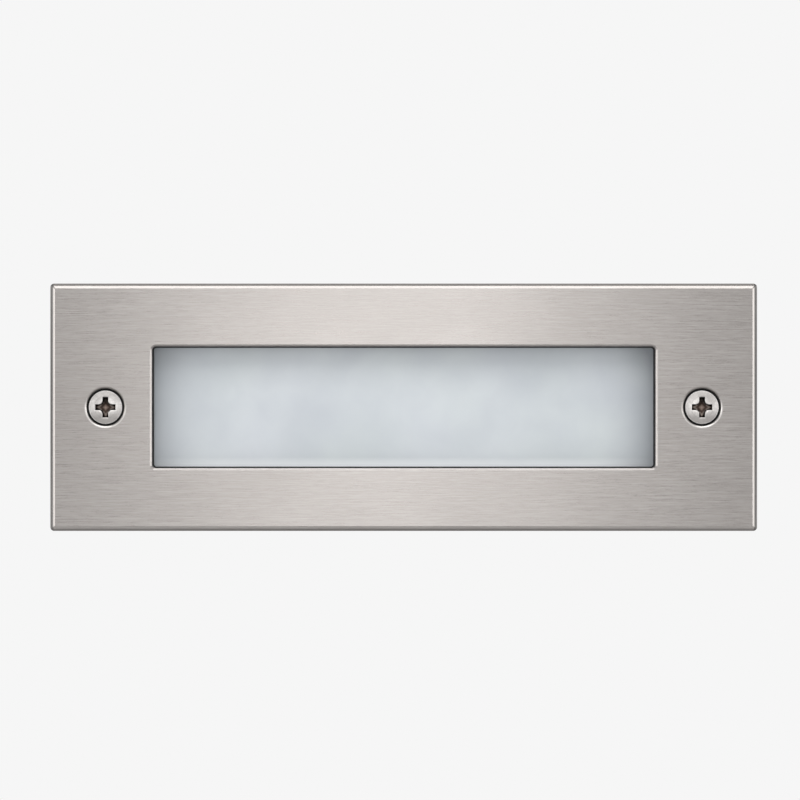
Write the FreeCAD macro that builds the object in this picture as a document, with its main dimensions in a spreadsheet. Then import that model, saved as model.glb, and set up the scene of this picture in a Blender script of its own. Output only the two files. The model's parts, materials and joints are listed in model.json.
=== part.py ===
# A recessed step light: a brushed faceplate with a frosted window, held by two
# captive screws to a cast box that stands in the wall behind it.
#
# Millimetres. +X right, +Z up, -Y out of the wall towards the viewer. The origin
# is the centre of the plate's seat on the wall face, y = 0. "Depth" below is the
# distance in front of the wall face, so it is negative inside the wall.

import FreeCAD
import Part
import Sketcher
import math
import os
import re

Vector = FreeCAD.Vector
Rule = Sketcher.Constraint

# ---------------------------------------------------------------- driving sizes

SIZES = {
    # faceplate
    "plate_len": 200,
    "plate_ht": 70,
    "plate_thk": 4,
    "plate_corner": 1.1,
    "brow_corner": 0.4,
    "face_corner": 0.2,
    "rim_width": 0.65,
    "rim_drop": 0.8,
    "bevel_width": 0.75,
    "bevel_drop": 0.4,
    # window in the plate, from its margins
    "window_end": 28.75,
    "window_side": 17.75,
    "window_corner": 1.1,
    "window_bevel": 0.5,
    # face screws and their holes
    "screw_inset": 15.65,
    "screw_rad": 2.45,
    "neck_rad": 2.05,
    "head_rad": 4.7,
    "head_ht": 2.15,
    "head_rise": 0.75,
    "tip_bevel": 0.5,
    "tip_short": 0.1,
    "recess_span": 5.9,
    "recess_arm": 1.75,
    "recess_round": 0.9,
    "recess_deep": 1.7,
    "recess_taper": 7,
    "cbore_rad": 5.3,
    "cbore_deep": 2.4,
    "cbore_bevel": 0.4,
    "plate_hole_rad": 2.75,
    "washer_play": 0.1,
    "washer_thk": 0.5,
    "washer_bore": 2.6,
    "keeper_rad": 4.5,
    "keeper_thk": 0.8,
    "keeper_play": 0.1,
    # wall gasket behind the plate's rim
    "gasket_thk": 1,
    "gasket_inset": 2,
    "gasket_width": 4,
    # glass and what clamps it
    "lens_lap": 3.75,
    "lens_thk": 5,
    "lens_corner": 2,
    "lens_bevel": 0.4,
    "lens_gasket_thk": 0.8,
    "lens_gasket_show": 0.4,
    "lens_pad_thk": 1.2,
    "pad_back_off": 0.75,
    "retainer_thk": 1.5,
    "retainer_end": 8,
    "retainer_side": 2.5,
    "notch_play": 1,
    "stud_rad": 1.5,
    "stud_off": 3,
    "stud_show": 0.6,
    "stud_foot_rad": 2.2,
    "stud_foot_thk": 0.7,
    "stud_play": 0.1,
    "nut_flats": 5.5,
    "nut_thk": 2.4,
    # cast box
    "box_play": 1.5,
    "box_wall": 2.5,
    "box_corner": 5,
    "back_wall": 3,
    "box_gasket_thk": 2,
    "post_rad": 6,
    "post_below": 3,
    "insert_set": 8,
    "insert_len": 8,
    "insert_rad": 3.5,
    "insert_play": 0.2,
    "thread_play": 0.05,
    "key_pitch": 20,
    "key_width": 2,
    "key_rise": 1,
    "key_front": 7,
    "key_back": 5,
    "fix_inset": 7,
    "fix_hole_rad": 2.5,
    # tray that carries the light source and the driver
    "tray_thk": 2.5,
    "tray_play": 0.35,
    "tray_side": 0.5,
    "tray_corner": 3,
    "gear_space": 30.5,
    "column_rad": 3.5,
    "column_end": 3,
    "small_rad": 1.5,
    "small_play": 0.05,
    "small_head_rad": 2.75,
    "small_head_ht": 2.2,
    "small_key": 2.5,
    "key_deep": 1.2,
    "head_ease": 0.3,
    "column_bite": 8,
    "thread_stop": 0.3,
    # reflector
    "reflector_gap": 3.5,
    "reflector_deep": 14,
    "reflector_skin": 1.2,
    "reflector_end": 1.5,
    "reflector_mouth": 1,
    "reflector_slope": 5.5,
    "reflector_corner": 3,
    # light source
    "board_end": 8.5,
    "board_side": 1.3,
    "board_thk": 1.6,
    "board_corner": 1,
    "led_end": 17,
    "led_wide": 2.8,
    "led_tall": 3.5,
    "led_thk": 0.7,
    "board_screw_in": 12,
    "board_screw_side": 3.5,
    "plug_wide": 6,
    "plug_tall": 7,
    "plug_rise": 4.5,
    "plug_end": 1,
    # driver
    "driver_len": 70,
    "driver_ht": 36,
    "driver_deep": 22,
    "driver_in": 8,
    "driver_corner": 3,
    "lug_out": 6,
    "lug_tall": 12,
    "lug_thk": 1.5,
    "lug_up": 13,
    "lid_in": 2,
    "lid_deep": 0.8,
    # terminal block
    "block_gap": 12,
    "block_len": 22,
    "block_ht": 30,
    "block_deep": 16,
    "pole_pitch": 9,
    "pole_off": 6,
    "pole_well": 2,
    "pole_well_deep": 8,
    "clamp_rad": 1.85,
    "clamp_len": 6,
    "clamp_slot": 0.6,
    "slot_over": 0.1,
    "wire_hole": 1.4,
    "block_well": 3,
    "block_seat": 3,
    # protective earth
    "earth_off": 6.5,
    "earth_drop": 4.5,
    "earth_rad": 1.95,
    "earth_head_rad": 3.5,
    "earth_head_ht": 2.6,
    "earth_key": 3,
    "tag_rad": 4,
    "tag_thk": 0.8,
    "tag_neck": 3,
    "earth_washer_rad": 3.9,
    "earth_washer_thk": 0.5,
    "tooth_deep": 0.4,
    "barrel_rad": 1.5,
    "barrel_bore": 1,
    "barrel_from": 4.5,
    "barrel_len": 5.5,
    # internal wiring
    "lead_rad": 0.8,
    "fine_rad": 0.65,
    "fine_gap": 0.75,
    "lead_rise": 3.5,
    "lead_apart": 3,
    "lead_in": 3,
    "fine_rise": 8.5,
    "fine_in": 2,
    "plug_hole_up": 2,
    "grommet_in": 4.5,
    "grommet_rad": 2.55,
    "grommet_lip": 3.5,
    "grommet_lip_thk": 1,
    "grommet_bore": 1.7,
    "grommet_play": 0.05,
    # cable entries
    "entry_in": 34,
    "entry_rad": 9.9,
    "entry_play": 0.3,
    "entry_seal_rad": 12.5,
    "entry_seal_thk": 1.5,
    "locknut_flats": 24,
    "locknut_thk": 5,
    "locknut_show": 2,
    "locknut_play": 0.1,
    "gland_flats": 24,
    "gland_hex_thk": 6,
    "gland_neck_rad": 9.5,
    "gland_neck_len": 8,
    "gland_bore": 6,
    "gland_seat_rad": 7.1,
    "seal_rad": 7,
    "seal_bore": 4,
    "seal_len": 9,
    "slip_thk": 1,
    "slip_bore": 4.6,
    "cap_play": 0.1,
    "cap_gap": 0.5,
    "cap_end": 4,
    "cap_mouth": 5.5,
    "cap_tip_rad": 8.5,
    "spare_rad": 12,
    "spare_thk": 5,
    "spare_key": 10,
    "spare_key_deep": 3.5,
}

LED_COUNT = 10
KEY_COUNT = 9
TOOTH_COUNT = 12
ARC_SHARE = 0.45
TUBE_TOLERANCE = 0.01

NAME_COLUMN = "A"
VALUE_COLUMN = "B"

# ------------------------------------------- stations and places, from the sizes

PLATE_BACK = "gasket_thk"
PLATE_FRONT = "(gasket_thk + plate_thk)"
SCREW_SEAT = f"({PLATE_FRONT} - cbore_deep + washer_thk)"
LENS_FRONT = f"({PLATE_BACK} - lens_gasket_thk)"
LENS_BACK = f"({LENS_FRONT} - lens_thk)"
PAD_BACK = f"({LENS_BACK} - lens_pad_thk)"
RETAINER_BACK = f"({PAD_BACK} - retainer_thk)"
NUT_BACK = f"({RETAINER_BACK} - nut_thk)"
BOX_FRONT = f"({PLATE_BACK} - box_gasket_thk)"
INSERT_BACK = f"({BOX_FRONT} - insert_set - insert_len)"
MOUTH = f"({RETAINER_BACK} - reflector_gap)"
TRAY_FRONT = f"({MOUTH} - reflector_deep)"
TRAY_BACK = f"({TRAY_FRONT} - tray_thk)"
BOX_FLOOR = f"({TRAY_BACK} - gear_space)"
BOX_BACK = f"({BOX_FLOOR} - back_wall)"
BOARD_FRONT = f"({TRAY_FRONT} + board_thk)"

WINDOW_LEN = "(plate_len - 2 * window_end)"
WINDOW_HT = "(plate_ht - 2 * window_side)"
LENS_LEN = f"({WINDOW_LEN} + 2 * lens_lap)"
LENS_HT = f"({WINDOW_HT} + 2 * lens_lap)"
BACK_LEN = f"({WINDOW_LEN} + 2 * pad_back_off)"
BACK_HT = f"({WINDOW_HT} + 2 * pad_back_off)"
SEAT_LEN = "(plate_len - 2 * gasket_inset)"
SEAT_HT = "(plate_ht - 2 * gasket_inset)"
BOX_LEN = f"({SEAT_LEN} - 2 * gasket_width - 2 * box_play)"
BOX_HT = f"({SEAT_HT} - 2 * gasket_width - 2 * box_play)"
ROOM_LEN = f"({BOX_LEN} - 2 * box_wall)"
ROOM_HT = f"({BOX_HT} - 2 * box_wall)"
ROOM_CORNER = "(box_corner - box_wall)"
SCREW_X = "(plate_len / 2 - screw_inset)"
STUD_X = f"({LENS_LEN} / 2 + stud_off)"
STUD_Z = f"({LENS_HT} / 2 - stud_off)"
FIX_X = f"({ROOM_LEN} / 2 - fix_inset)"
FIX_Z = f"({ROOM_HT} / 2 - fix_inset)"
TRAY_LEN = f"(2 * ({SCREW_X} - post_rad - tray_play))"
TRAY_HT = f"({ROOM_HT} - 2 * tray_side)"
COLUMN_X = f"({TRAY_LEN} / 2 - column_end)"
COLUMN_Z = f"({TRAY_HT} / 2 - column_rad)"
MOUTH_LEN = f"({BACK_LEN} - 2 * reflector_end)"
MOUTH_HT = f"({BACK_HT} + 2 * reflector_mouth - 2 * reflector_skin)"
THROAT_HT = f"({MOUTH_HT} - 2 * reflector_slope)"
BOARD_LEN = f"({MOUTH_LEN} - 2 * board_end)"
BOARD_HT = f"({THROAT_HT} - 2 * board_side)"
BOARD_SCREW_X = f"({BOARD_LEN} / 2 - board_screw_in)"
BOARD_SCREW_Z = f"({BOARD_HT} / 2 - board_screw_side)"
LED_ROW = f"({BOARD_LEN} - 2 * led_end)"
PLUG_X = f"(-{BOARD_LEN} / 2 + plug_end + plug_wide / 2)"
GROMMET_X = f"(grommet_in - {MOUTH_LEN} / 2)"
DRIVER_X = f"({GROMMET_X} + driver_in + driver_len / 2)"
DRIVER_END = f"({DRIVER_X} + driver_len / 2)"
LUG_X = "(driver_len / 2 + lug_out / 2)"
BLOCK_X = f"({DRIVER_END} + block_gap + block_len / 2)"
EARTH_X = f"({BLOCK_X} + block_len / 2 + earth_off)"
EARTH_Z = f"(-({BOARD_SCREW_Z} + earth_drop))"
SMALL_HOLE = "(small_rad + small_play)"
ENTRY_X = f"({ROOM_LEN} / 2 - entry_in)"

doc = FreeCAD.newDocument("step_light")
sheet = doc.addObject("Spreadsheet::Sheet", "dims")
for row, (alias, value) in enumerate(SIZES.items(), start=1):
    sheet.set(f"{NAME_COLUMN}{row}", alias)
    sheet.set(f"{VALUE_COLUMN}{row}", str(value))
    sheet.setAlias(f"{VALUE_COLUMN}{row}", alias)
doc.recompute()


# ----------------------------------------------------------------- small helpers


def linked(formula):
    """The formula with each size written as a reference to its cell."""

    def reference(word):
        return f"dims.{word[0]}" if word[0] in SIZES else word[0]

    return re.sub(r"[a-z_]+", reference, formula)


def size(formula):
    """What the formula comes to now, in millimetres."""
    return float(sheet.evalExpression(linked(formula)))


def bind(item, what, formula):
    item.setExpression(what, linked(formula))


def stand(item, x, depth, z):
    """Puts a piece's own origin at x, z and at a depth in front of the wall face."""
    bind(item, "Placement.Base.x", x)
    bind(item, "Placement.Base.y", f"-({depth})")
    bind(item, "Placement.Base.z", z)


def new_piece(name, x="0", depth="0", z="0"):
    body = doc.addObject("PartDesign::Body", name)
    body.Label = name
    stand(body, x, depth, z)
    return body


def origin_of(body, role):
    return next(item for item in body.Origin.OriginFeatures if item.Role == role)


def new_sketch(body, depth="0", plane="XZ_Plane"):
    """A sketch on one of the piece's own planes, moved out along the plane's normal."""
    sketch = body.newObject("Sketcher::SketchObject", f"{body.Label}_sketch")
    sketch.AttachmentSupport = [(origin_of(body, plane), "")]
    sketch.MapMode = "FlatFace"
    bind(sketch, "AttachmentOffset.Base.z", depth)
    return sketch


def rule(sketch, kind, *where):
    """Adds a constraint whose last value is a formula."""
    formula = where[-1]
    number = sketch.addConstraint(Rule(kind, *where[:-1], size(formula)))
    bind(sketch, f"Constraints[{number}]", formula)


def pin(sketch, edge, point, x, z):
    """Ties a point of an edge to the place x, z."""
    if size(x) == 0:
        sketch.addConstraint(Rule("PointOnObject", edge, point, -2))
    else:
        rule(sketch, "DistanceX", -1, 1, edge, point, x)
    if size(z) == 0:
        sketch.addConstraint(Rule("PointOnObject", edge, point, -1))
    else:
        rule(sketch, "DistanceY", -1, 1, edge, point, z)


def add_circle(sketch, radius, x="0", z="0"):
    centre = Vector(size(x), size(z), 0)
    edge = sketch.addGeometry(Part.Circle(centre, Vector(0, 0, 1), size(radius)), False)
    pin(sketch, edge, 3, x, z)
    rule(sketch, "Radius", edge, radius)


def add_line(sketch, start, end):
    return sketch.addGeometry(Part.LineSegment(start, end), False)


def add_polygon(sketch, corners):
    """A closed outline of straight edges through corners given as formulas."""
    spots = [Vector(size(x), size(z), 0) for x, z in corners]
    edges = [add_line(sketch, spots[i - 1], spot) for i, spot in enumerate(spots)]
    for i, (x, z) in enumerate(corners):
        sketch.addConstraint(Rule("Coincident", edges[i - 1], 2, edges[i], 1))
        pin(sketch, edges[i], 2, x, z)


def add_domed_outline(sketch, corners):
    """An open chain of edges up to a rim, closed by an arc to the last corner, on the axis."""
    spots = [Vector(size(x), size(z), 0) for x, z in corners]
    chain = [add_line(sketch, start, end) for start, end in zip(spots, spots[1:-1])]
    rim, crown = spots[-2], spots[-1]
    rise = crown.y - rim.y
    radius = (rim.x**2 + rise**2) / (2 * rise)
    centre = Vector(0, crown.y - radius, 0)
    rim_angle = math.atan2(rim.y - centre.y, rim.x)
    first, last = sorted([rim_angle, math.copysign(math.pi / 2, rise)])
    circle = Part.Circle(centre, Vector(0, 0, 1), abs(radius))
    arc = sketch.addGeometry(Part.ArcOfCircle(circle, first, last), False)
    at_crown, at_rim = (2, 1) if rise > 0 else (1, 2)
    axis = add_line(sketch, crown, spots[0])
    sketch.addConstraint(Rule("PointOnObject", arc, 3, -2))
    for edge, following in zip(chain, chain[1:]):
        sketch.addConstraint(Rule("Coincident", edge, 2, following, 1))
    sketch.addConstraint(Rule("Coincident", chain[-1], 2, arc, at_rim))
    sketch.addConstraint(Rule("Coincident", arc, at_crown, axis, 1))
    sketch.addConstraint(Rule("Coincident", axis, 2, chain[0], 1))
    for edge, (x, z) in zip(chain, corners):
        pin(sketch, edge, 1, x, z)
    pin(sketch, chain[-1], 2, *corners[-2])
    pin(sketch, axis, 1, *corners[-1])


def add_box(sketch, wide, tall, x="0", z="0"):
    """A plain rectangle round x, z."""
    left, right = f"{x} - {wide} / 2", f"{x} + {wide} / 2"
    low, high = f"{z} - {tall} / 2", f"{z} + {tall} / 2"
    add_polygon(sketch, [(left, low), (right, low), (right, high), (left, high)])


def add_round_box(sketch, wide, tall, corner):
    """A rectangle round the sketch's origin with rounded corners."""
    half_x, half_z, radius = size(wide) / 2, size(tall) / 2, size(corner)
    turns = [(1, -1), (1, 1), (-1, 1), (-1, -1)]
    arcs = []
    for number, (side, up) in enumerate(turns):
        centre = Vector(side * (half_x - radius), up * (half_z - radius), 0)
        circle = Part.Circle(centre, Vector(0, 0, 1), radius)
        start = (number - 1) * math.pi / 2
        arcs.append(sketch.addGeometry(Part.ArcOfCircle(circle, start, start + math.pi / 2), False))
    lines = []
    for number, arc in enumerate(arcs):
        following = arcs[(number + 1) % 4]
        ends = sketch.getPoint(arc, 2), sketch.getPoint(following, 1)
        line = sketch.addGeometry(Part.LineSegment(*ends), False)
        sketch.addConstraint(Rule("Tangent", arc, 2, line, 1))
        sketch.addConstraint(Rule("Tangent", line, 2, following, 1))
        sketch.addConstraint(Rule("Vertical" if number % 2 == 0 else "Horizontal", line))
        lines.append(line)
    for arc in arcs[1:]:
        sketch.addConstraint(Rule("Equal", arcs[0], arc))
    sketch.addConstraint(Rule("Symmetric", arcs[0], 3, arcs[2], 3, -1, 1))
    rule(sketch, "Radius", arcs[0], corner)
    rule(sketch, "DistanceX", lines[2], 1, lines[0], 1, wide)
    rule(sketch, "DistanceY", lines[3], 1, lines[1], 1, tall)


def add_hexagon(sketch, flats, x="0", z="0"):
    """A hexagon of a width across flats, its corners at the left and right."""
    reach = f"{flats} / 2 / cos(30)"
    centre = Vector(size(x), size(z), 0)
    ring = sketch.addGeometry(Part.Circle(centre, Vector(0, 0, 1), size(reach)), True)
    pin(sketch, ring, 3, x, z)
    rule(sketch, "Radius", ring, reach)
    corners = []
    for number in range(6):
        angle = number * math.pi / 3
        corners.append(centre + Vector(math.cos(angle), math.sin(angle), 0) * size(reach))
    edges = [add_line(sketch, corners[i - 1], corner) for i, corner in enumerate(corners)]
    for i in range(6):
        sketch.addConstraint(Rule("Coincident", edges[i - 1], 2, edges[i], 1))
        sketch.addConstraint(Rule("PointOnObject", edges[i], 1, ring))
    for edge in edges[1:]:
        sketch.addConstraint(Rule("Equal", edges[0], edge))
    sketch.addConstraint(Rule("Horizontal", edges[2]))


def pad(sketch, length):
    """Raises a sketch towards the viewer, or along its own normal."""
    body = sketch.getParentGeoFeatureGroup()
    feature = body.newObject("PartDesign::Pad", f"{body.Label}_raised")
    feature.Profile = sketch
    bind(feature, "Length", length)
    doc.recompute()
    return feature


def pocket(sketch, length, outward=False, taper=None):
    """Cuts a sketch into the piece, away from the viewer unless outward is set."""
    body = sketch.getParentGeoFeatureGroup()
    before = body.Shape.Volume
    feature = body.newObject("PartDesign::Pocket", f"{body.Label}_sunk")
    feature.Profile = sketch
    feature.Reversed = outward
    bind(feature, "Length", length)
    if taper:
        bind(feature, "TaperAngle", f"-{taper}")
    doc.recompute()
    if not body.Shape.Volume < before:
        raise RuntimeError(f"{body.Label}: a pocket cuts nothing")
    return feature


def turned(body, corners, domed=False):
    """Turns a closed outline of radius and depth round the piece's own front-to-back axis."""
    sketch = new_sketch(body, plane="XY_Plane")
    draw = add_domed_outline if domed else add_polygon
    draw(sketch, [(radius, f"-({depth})") for radius, depth in corners])
    feature = body.newObject("PartDesign::Revolution", f"{body.Label}_turned")
    feature.Profile = sketch
    feature.ReferenceAxis = (sketch, ["V_Axis"])
    feature.Angle = 360
    doc.recompute()
    return feature


def loft(sections, cut=False):
    """Joins sketches by straight walls, as a solid or as a cut."""
    body = sections[0].getParentGeoFeatureGroup()
    kind = "SubtractiveLoft" if cut else "AdditiveLoft"
    before = body.Shape.Volume if cut else 0
    feature = body.newObject(f"PartDesign::{kind}", f"{body.Label}_loft")
    feature.Profile = sections[0]
    feature.Sections = sections[1:]
    feature.Ruled = True
    doc.recompute()
    if cut and not body.Shape.Volume < before:
        raise RuntimeError(f"{body.Label}: a loft cuts nothing")
    return feature


def repeated(feature, direction, pitch, count):
    """Repeats a feature along one of the piece's own axes."""
    body = feature.getParentGeoFeatureGroup()
    pattern = body.newObject("PartDesign::LinearPattern", f"{body.Label}_row")
    pattern.Originals = [feature]
    pattern.Direction = (origin_of(body, direction), [""])
    bind(pattern, "Length", f"({pitch}) * {count - 1}")
    pattern.Occurrences = count
    body.Tip = pattern
    doc.recompute()
    return pattern


def eased(feature, cut, chosen, kind="Chamfer"):
    """Chamfers or rounds the edges of a feature whose every point is chosen."""
    body = feature.getParentGeoFeatureGroup()
    names = []
    for number, edge in enumerate(feature.Shape.Edges, start=1):
        if all(chosen(point) for point in edge.discretize(5)):
            names.append(f"Edge{number}")
    if not names:
        raise RuntimeError(f"{body.Label}: no edge to ease")
    easing = body.newObject(f"PartDesign::{kind}", f"{body.Label}_{kind.lower()}")
    easing.Base = (feature, names)
    bind(easing, "Size" if kind == "Chamfer" else "Radius", cut)
    doc.recompute()
    return easing


def at_depth(depth, inside=None, outside=None):
    """Chooses points of a piece's own frame at a depth, by distance from its axis."""
    level = -size(depth)

    def chosen(point):
        reach = math.hypot(point.x, point.z)
        near = inside is None or reach < size(inside)
        far = outside is None or reach > size(outside)
        return abs(point.y - level) < 1e-6 and near and far

    return chosen


def both_signs(x, z="0"):
    """The places left and right of the centre, and above and below it."""
    ups = [z] if z == "0" else [z, f"-{z}"]
    return [(side, up) for side in (x, f"-{x}") for up in ups]


def small_screws(name, places, seat, grip, forward, kind="small"):
    """Socket-head screws with their heads on a seat, in front of it or behind it."""
    body = new_piece(name, depth=seat)
    rise = f"{kind}_head_ht"
    top = rise if forward else f"-{rise}"
    heads = new_sketch(body, "0" if forward else top)
    shanks = new_sketch(body, f"-({grip})" if forward else "0")
    sockets = new_sketch(body, top)
    for x, z in places:
        add_circle(heads, f"{kind}_head_rad", x, z)
        add_circle(shanks, f"{kind}_rad", x, z)
        add_hexagon(sockets, f"{kind}_key", x, z)
    pad(heads, rise)
    pad(shanks, grip)
    socket = pocket(sockets, "key_deep", outward=not forward)
    eased(socket, "head_ease", at_rims(top, f"{kind}_head_rad", places), "Fillet")
    return body


def at_rims(depth, radius, places):
    """Chooses the round edges of a radius, at a depth, round several places."""
    level = -size(depth)
    spots = [(size(x), size(z)) for x, z in places]

    def chosen(point):
        rim = any(abs(math.hypot(point.x - x, point.z - z) - size(radius)) < 1e-6 for x, z in spots)
        return abs(point.y - level) < 1e-6 and rim

    return chosen


# ------------------------------------------------------------------- cover pieces


def make_faceplate():
    body = new_piece("faceplate", depth=PLATE_BACK)
    body_depth = "plate_thk - bevel_drop - rim_drop"
    slab = new_sketch(body)
    add_round_box(slab, "plate_len", "plate_ht", "plate_corner")
    pad(slab, body_depth)

    # the edge breaks twice: a steep outer rim, then a shallow bevel up to the face
    foot = new_sketch(body, body_depth)
    add_round_box(foot, "plate_len", "plate_ht", "plate_corner")
    brow = new_sketch(body, "plate_thk - bevel_drop")
    add_round_box(brow, "plate_len - 2 * rim_width", "plate_ht - 2 * rim_width", "brow_corner")
    face = new_sketch(body, "plate_thk")
    inset = "2 * (rim_width + bevel_width)"
    add_round_box(face, f"plate_len - {inset}", f"plate_ht - {inset}", "face_corner")
    loft([foot, brow, face])

    window = new_sketch(body, "plate_thk")
    add_round_box(window, WINDOW_LEN, WINDOW_HT, "window_corner")
    opened = pocket(window, "plate_thk")
    half_x = size(WINDOW_LEN) / 2
    half_z = size(WINDOW_HT) / 2

    def at_window(point):
        within = abs(point.x) < half_x + 1e-6 and abs(point.z) < half_z + 1e-6
        return within and at_depth("plate_thk")(point)

    eased(opened, "window_bevel", at_window)

    seats = new_sketch(body, "plate_thk")
    for x, z in both_signs(SCREW_X):
        add_circle(seats, "cbore_rad", x, z)
    sunk = pocket(seats, "cbore_deep")
    eased(sunk, "cbore_bevel", at_rims("plate_thk", "cbore_rad", both_signs(SCREW_X)))
    holes = new_sketch(body, "plate_thk")
    for x, z in both_signs(SCREW_X):
        add_circle(holes, "plate_hole_rad", x, z)
    pocket(holes, "plate_thk")


def make_ring(name, back, thick, outer, inner):
    """A flat ring between two rounded rectangles, each (length, height, corner)."""
    body = new_piece(name, depth=back)
    outline = new_sketch(body)
    add_round_box(outline, *outer)
    add_round_box(outline, *inner)
    pad(outline, thick)
    return body


def make_lens_group():
    lens = new_piece("lens", depth=LENS_BACK)
    outline = new_sketch(lens)
    add_round_box(outline, LENS_LEN, LENS_HT, "lens_corner")
    slab = pad(outline, "lens_thk")
    eased(slab, "lens_bevel", lambda point: at_depth("0")(point) or at_depth("lens_thk")(point))

    outer = (LENS_LEN, LENS_HT, "lens_corner")
    shown = (
        f"{WINDOW_LEN} - 2 * lens_gasket_show",
        f"{WINDOW_HT} - 2 * lens_gasket_show",
        "window_corner - lens_gasket_show",
    )
    make_ring("lens_gasket", LENS_FRONT, "lens_gasket_thk", outer, shown)
    make_ring("lens_pad", PAD_BACK, "lens_pad_thk", outer, (BACK_LEN, BACK_HT, "lens_corner"))

    frame = (f"{LENS_LEN} + 2 * retainer_end", f"{LENS_HT} + 2 * retainer_side", "lens_corner")
    opening = (BACK_LEN, BACK_HT, "lens_corner")
    retainer = make_ring("lens_retainer", RETAINER_BACK, "retainer_thk", frame, opening)
    notches = new_sketch(retainer, "retainer_thk")
    for x, z in both_signs(SCREW_X):
        add_circle(notches, "post_rad + notch_play", x, z)
    pocket(notches, "retainer_thk")
    holes = new_sketch(retainer, "retainer_thk")
    for x, z in both_signs(STUD_X, STUD_Z):
        add_circle(holes, "stud_rad + stud_play", x, z)
    pocket(holes, "retainer_thk")

    studs = new_piece("lens_studs", depth=PLATE_BACK)
    stud_length = f"({PLATE_BACK} - {NUT_BACK} + stud_show)"
    rods = new_sketch(studs, f"-{stud_length}")
    feet = new_sketch(studs, "-stud_foot_thk")
    for x, z in both_signs(STUD_X, STUD_Z):
        add_circle(rods, "stud_rad", x, z)
        add_circle(feet, "stud_foot_rad", x, z)
    pad(rods, stud_length)
    pad(feet, "stud_foot_thk")

    nuts = new_piece("lens_nuts", depth=NUT_BACK)
    outline = new_sketch(nuts)
    for x, z in both_signs(STUD_X, STUD_Z):
        add_hexagon(outline, "nut_flats", x, z)
        add_circle(outline, "stud_rad + thread_play", x, z)
    pad(outline, "nut_thk")


def make_wall_gasket():
    outer = (SEAT_LEN, SEAT_HT, "plate_corner")
    inner = (f"{SEAT_LEN} - 2 * gasket_width", f"{SEAT_HT} - 2 * gasket_width", "plate_corner")
    make_ring("wall_gasket", "0", "gasket_thk", outer, inner)


def make_face_screw(side, x):
    """A captive screw: domed head, thin neck, thread only where it meets the insert."""
    washer = new_piece(f"{side}_screw_washer", x, f"{SCREW_SEAT} - washer_thk")
    outline = new_sketch(washer)
    add_circle(outline, "cbore_rad - washer_play")
    add_circle(outline, "washer_bore")
    pad(outline, "washer_thk")

    screw = new_piece(f"{side}_screw", x, SCREW_SEAT)
    length = f"({SCREW_SEAT} - {INSERT_BACK} - tip_short)"
    edge_ht = "(head_ht - head_rise)"
    turned(
        screw,
        [
            ("0", f"-{length}"),
            ("screw_rad - tip_bevel", f"-{length}"),
            ("screw_rad", f"tip_bevel - {length}"),
            ("screw_rad", f"insert_len - {length} - tip_bevel"),
            ("neck_rad", f"insert_len - {length}"),
            ("neck_rad", "0"),
            ("head_rad", "0"),
            ("head_rad", edge_ht),
            ("0", "head_ht"),
        ],
        domed=True,
    )
    cross = new_sketch(screw, "head_ht")
    arm, reach = "recess_arm / 2", "recess_span / 2"
    corners = []
    for across, up in ((1, 1), (-1, 1), (-1, -1), (1, -1)):
        tip = [(f"{across} * {reach}", f"{up} * {arm}")]
        tip.append((f"{across} * {arm}", f"{up} * {arm}"))
        tip.append((f"{across} * {arm}", f"{up} * {reach}"))
        corners += tip if across == up else tip[::-1]
    add_polygon(cross, corners)
    recess = pocket(cross, "recess_deep", taper="recess_taper")
    half_arm = size(arm)

    def inner_corner(point):
        diagonal = abs(abs(point.x) - abs(point.z)) < 1e-5
        return diagonal and 0 < abs(point.x) < half_arm + 1e-6

    eased(recess, "recess_round", inner_corner, "Fillet")


def make_screw_keepers():
    """Push-on rings on the screws' necks, behind the plate."""
    body = new_piece("screw_retainers", depth=f"{PLATE_BACK} - keeper_thk")
    outline = new_sketch(body)
    for x, z in both_signs(SCREW_X):
        add_circle(outline, "keeper_rad", x, z)
        add_circle(outline, "neck_rad + keeper_play", x, z)
    pad(outline, "keeper_thk")


# ------------------------------------------------------------------------ the box


def make_housing():
    body = new_piece("housing", depth=BOX_BACK)
    length = f"({BOX_FRONT} - {BOX_BACK})"
    block = new_sketch(body)
    add_round_box(block, BOX_LEN, BOX_HT, "box_corner")
    pad(block, length)

    # keys above and below hold the box in its mortar bed
    rib = new_sketch(body, "key_back")
    add_box(rib, "key_width", f"({BOX_HT} + 2 * key_rise)", f"-{(KEY_COUNT - 1) / 2} * key_pitch")
    ribs = pad(rib, f"{length} - key_back - key_front")
    repeated(ribs, "X_Axis", "key_pitch", KEY_COUNT)

    room = new_sketch(body, length)
    add_round_box(room, ROOM_LEN, ROOM_HT, ROOM_CORNER)
    pocket(room, f"{length} - back_wall")

    post_deep = "(insert_set + insert_len + post_below)"
    posts = new_sketch(body, f"{length} - {post_deep}")
    for x, z in both_signs(SCREW_X):
        add_circle(posts, "post_rad", x, z)
    pad(posts, post_deep)
    columns = new_sketch(body, "back_wall")
    for x, z in both_signs(COLUMN_X, COLUMN_Z):
        add_circle(columns, "column_rad", x, z)
    pad(columns, "gear_space")

    bores = new_sketch(body, length)
    for x, z in both_signs(SCREW_X):
        add_circle(bores, "insert_rad", x, z)
    pocket(bores, "insert_set + insert_len")
    mouths = new_sketch(body, length)
    for x, z in both_signs(SCREW_X):
        add_circle(mouths, "insert_rad + insert_play", x, z)
    pocket(mouths, "insert_set")
    threads = new_sketch(body, "back_wall + gear_space")
    for x, z in both_signs(COLUMN_X, COLUMN_Z):
        add_circle(threads, SMALL_HOLE, x, z)
    pocket(threads, "column_bite + thread_stop")

    entries = new_sketch(body, "back_wall")
    for x, z in both_signs(ENTRY_X):
        add_circle(entries, "entry_rad + entry_play", x, z)
    pocket(entries, "back_wall")
    fixings = new_sketch(body, "back_wall")
    for x, z in both_signs(FIX_X, FIX_Z):
        add_circle(fixings, "fix_hole_rad", x, z)
    pocket(fixings, "back_wall")


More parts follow.
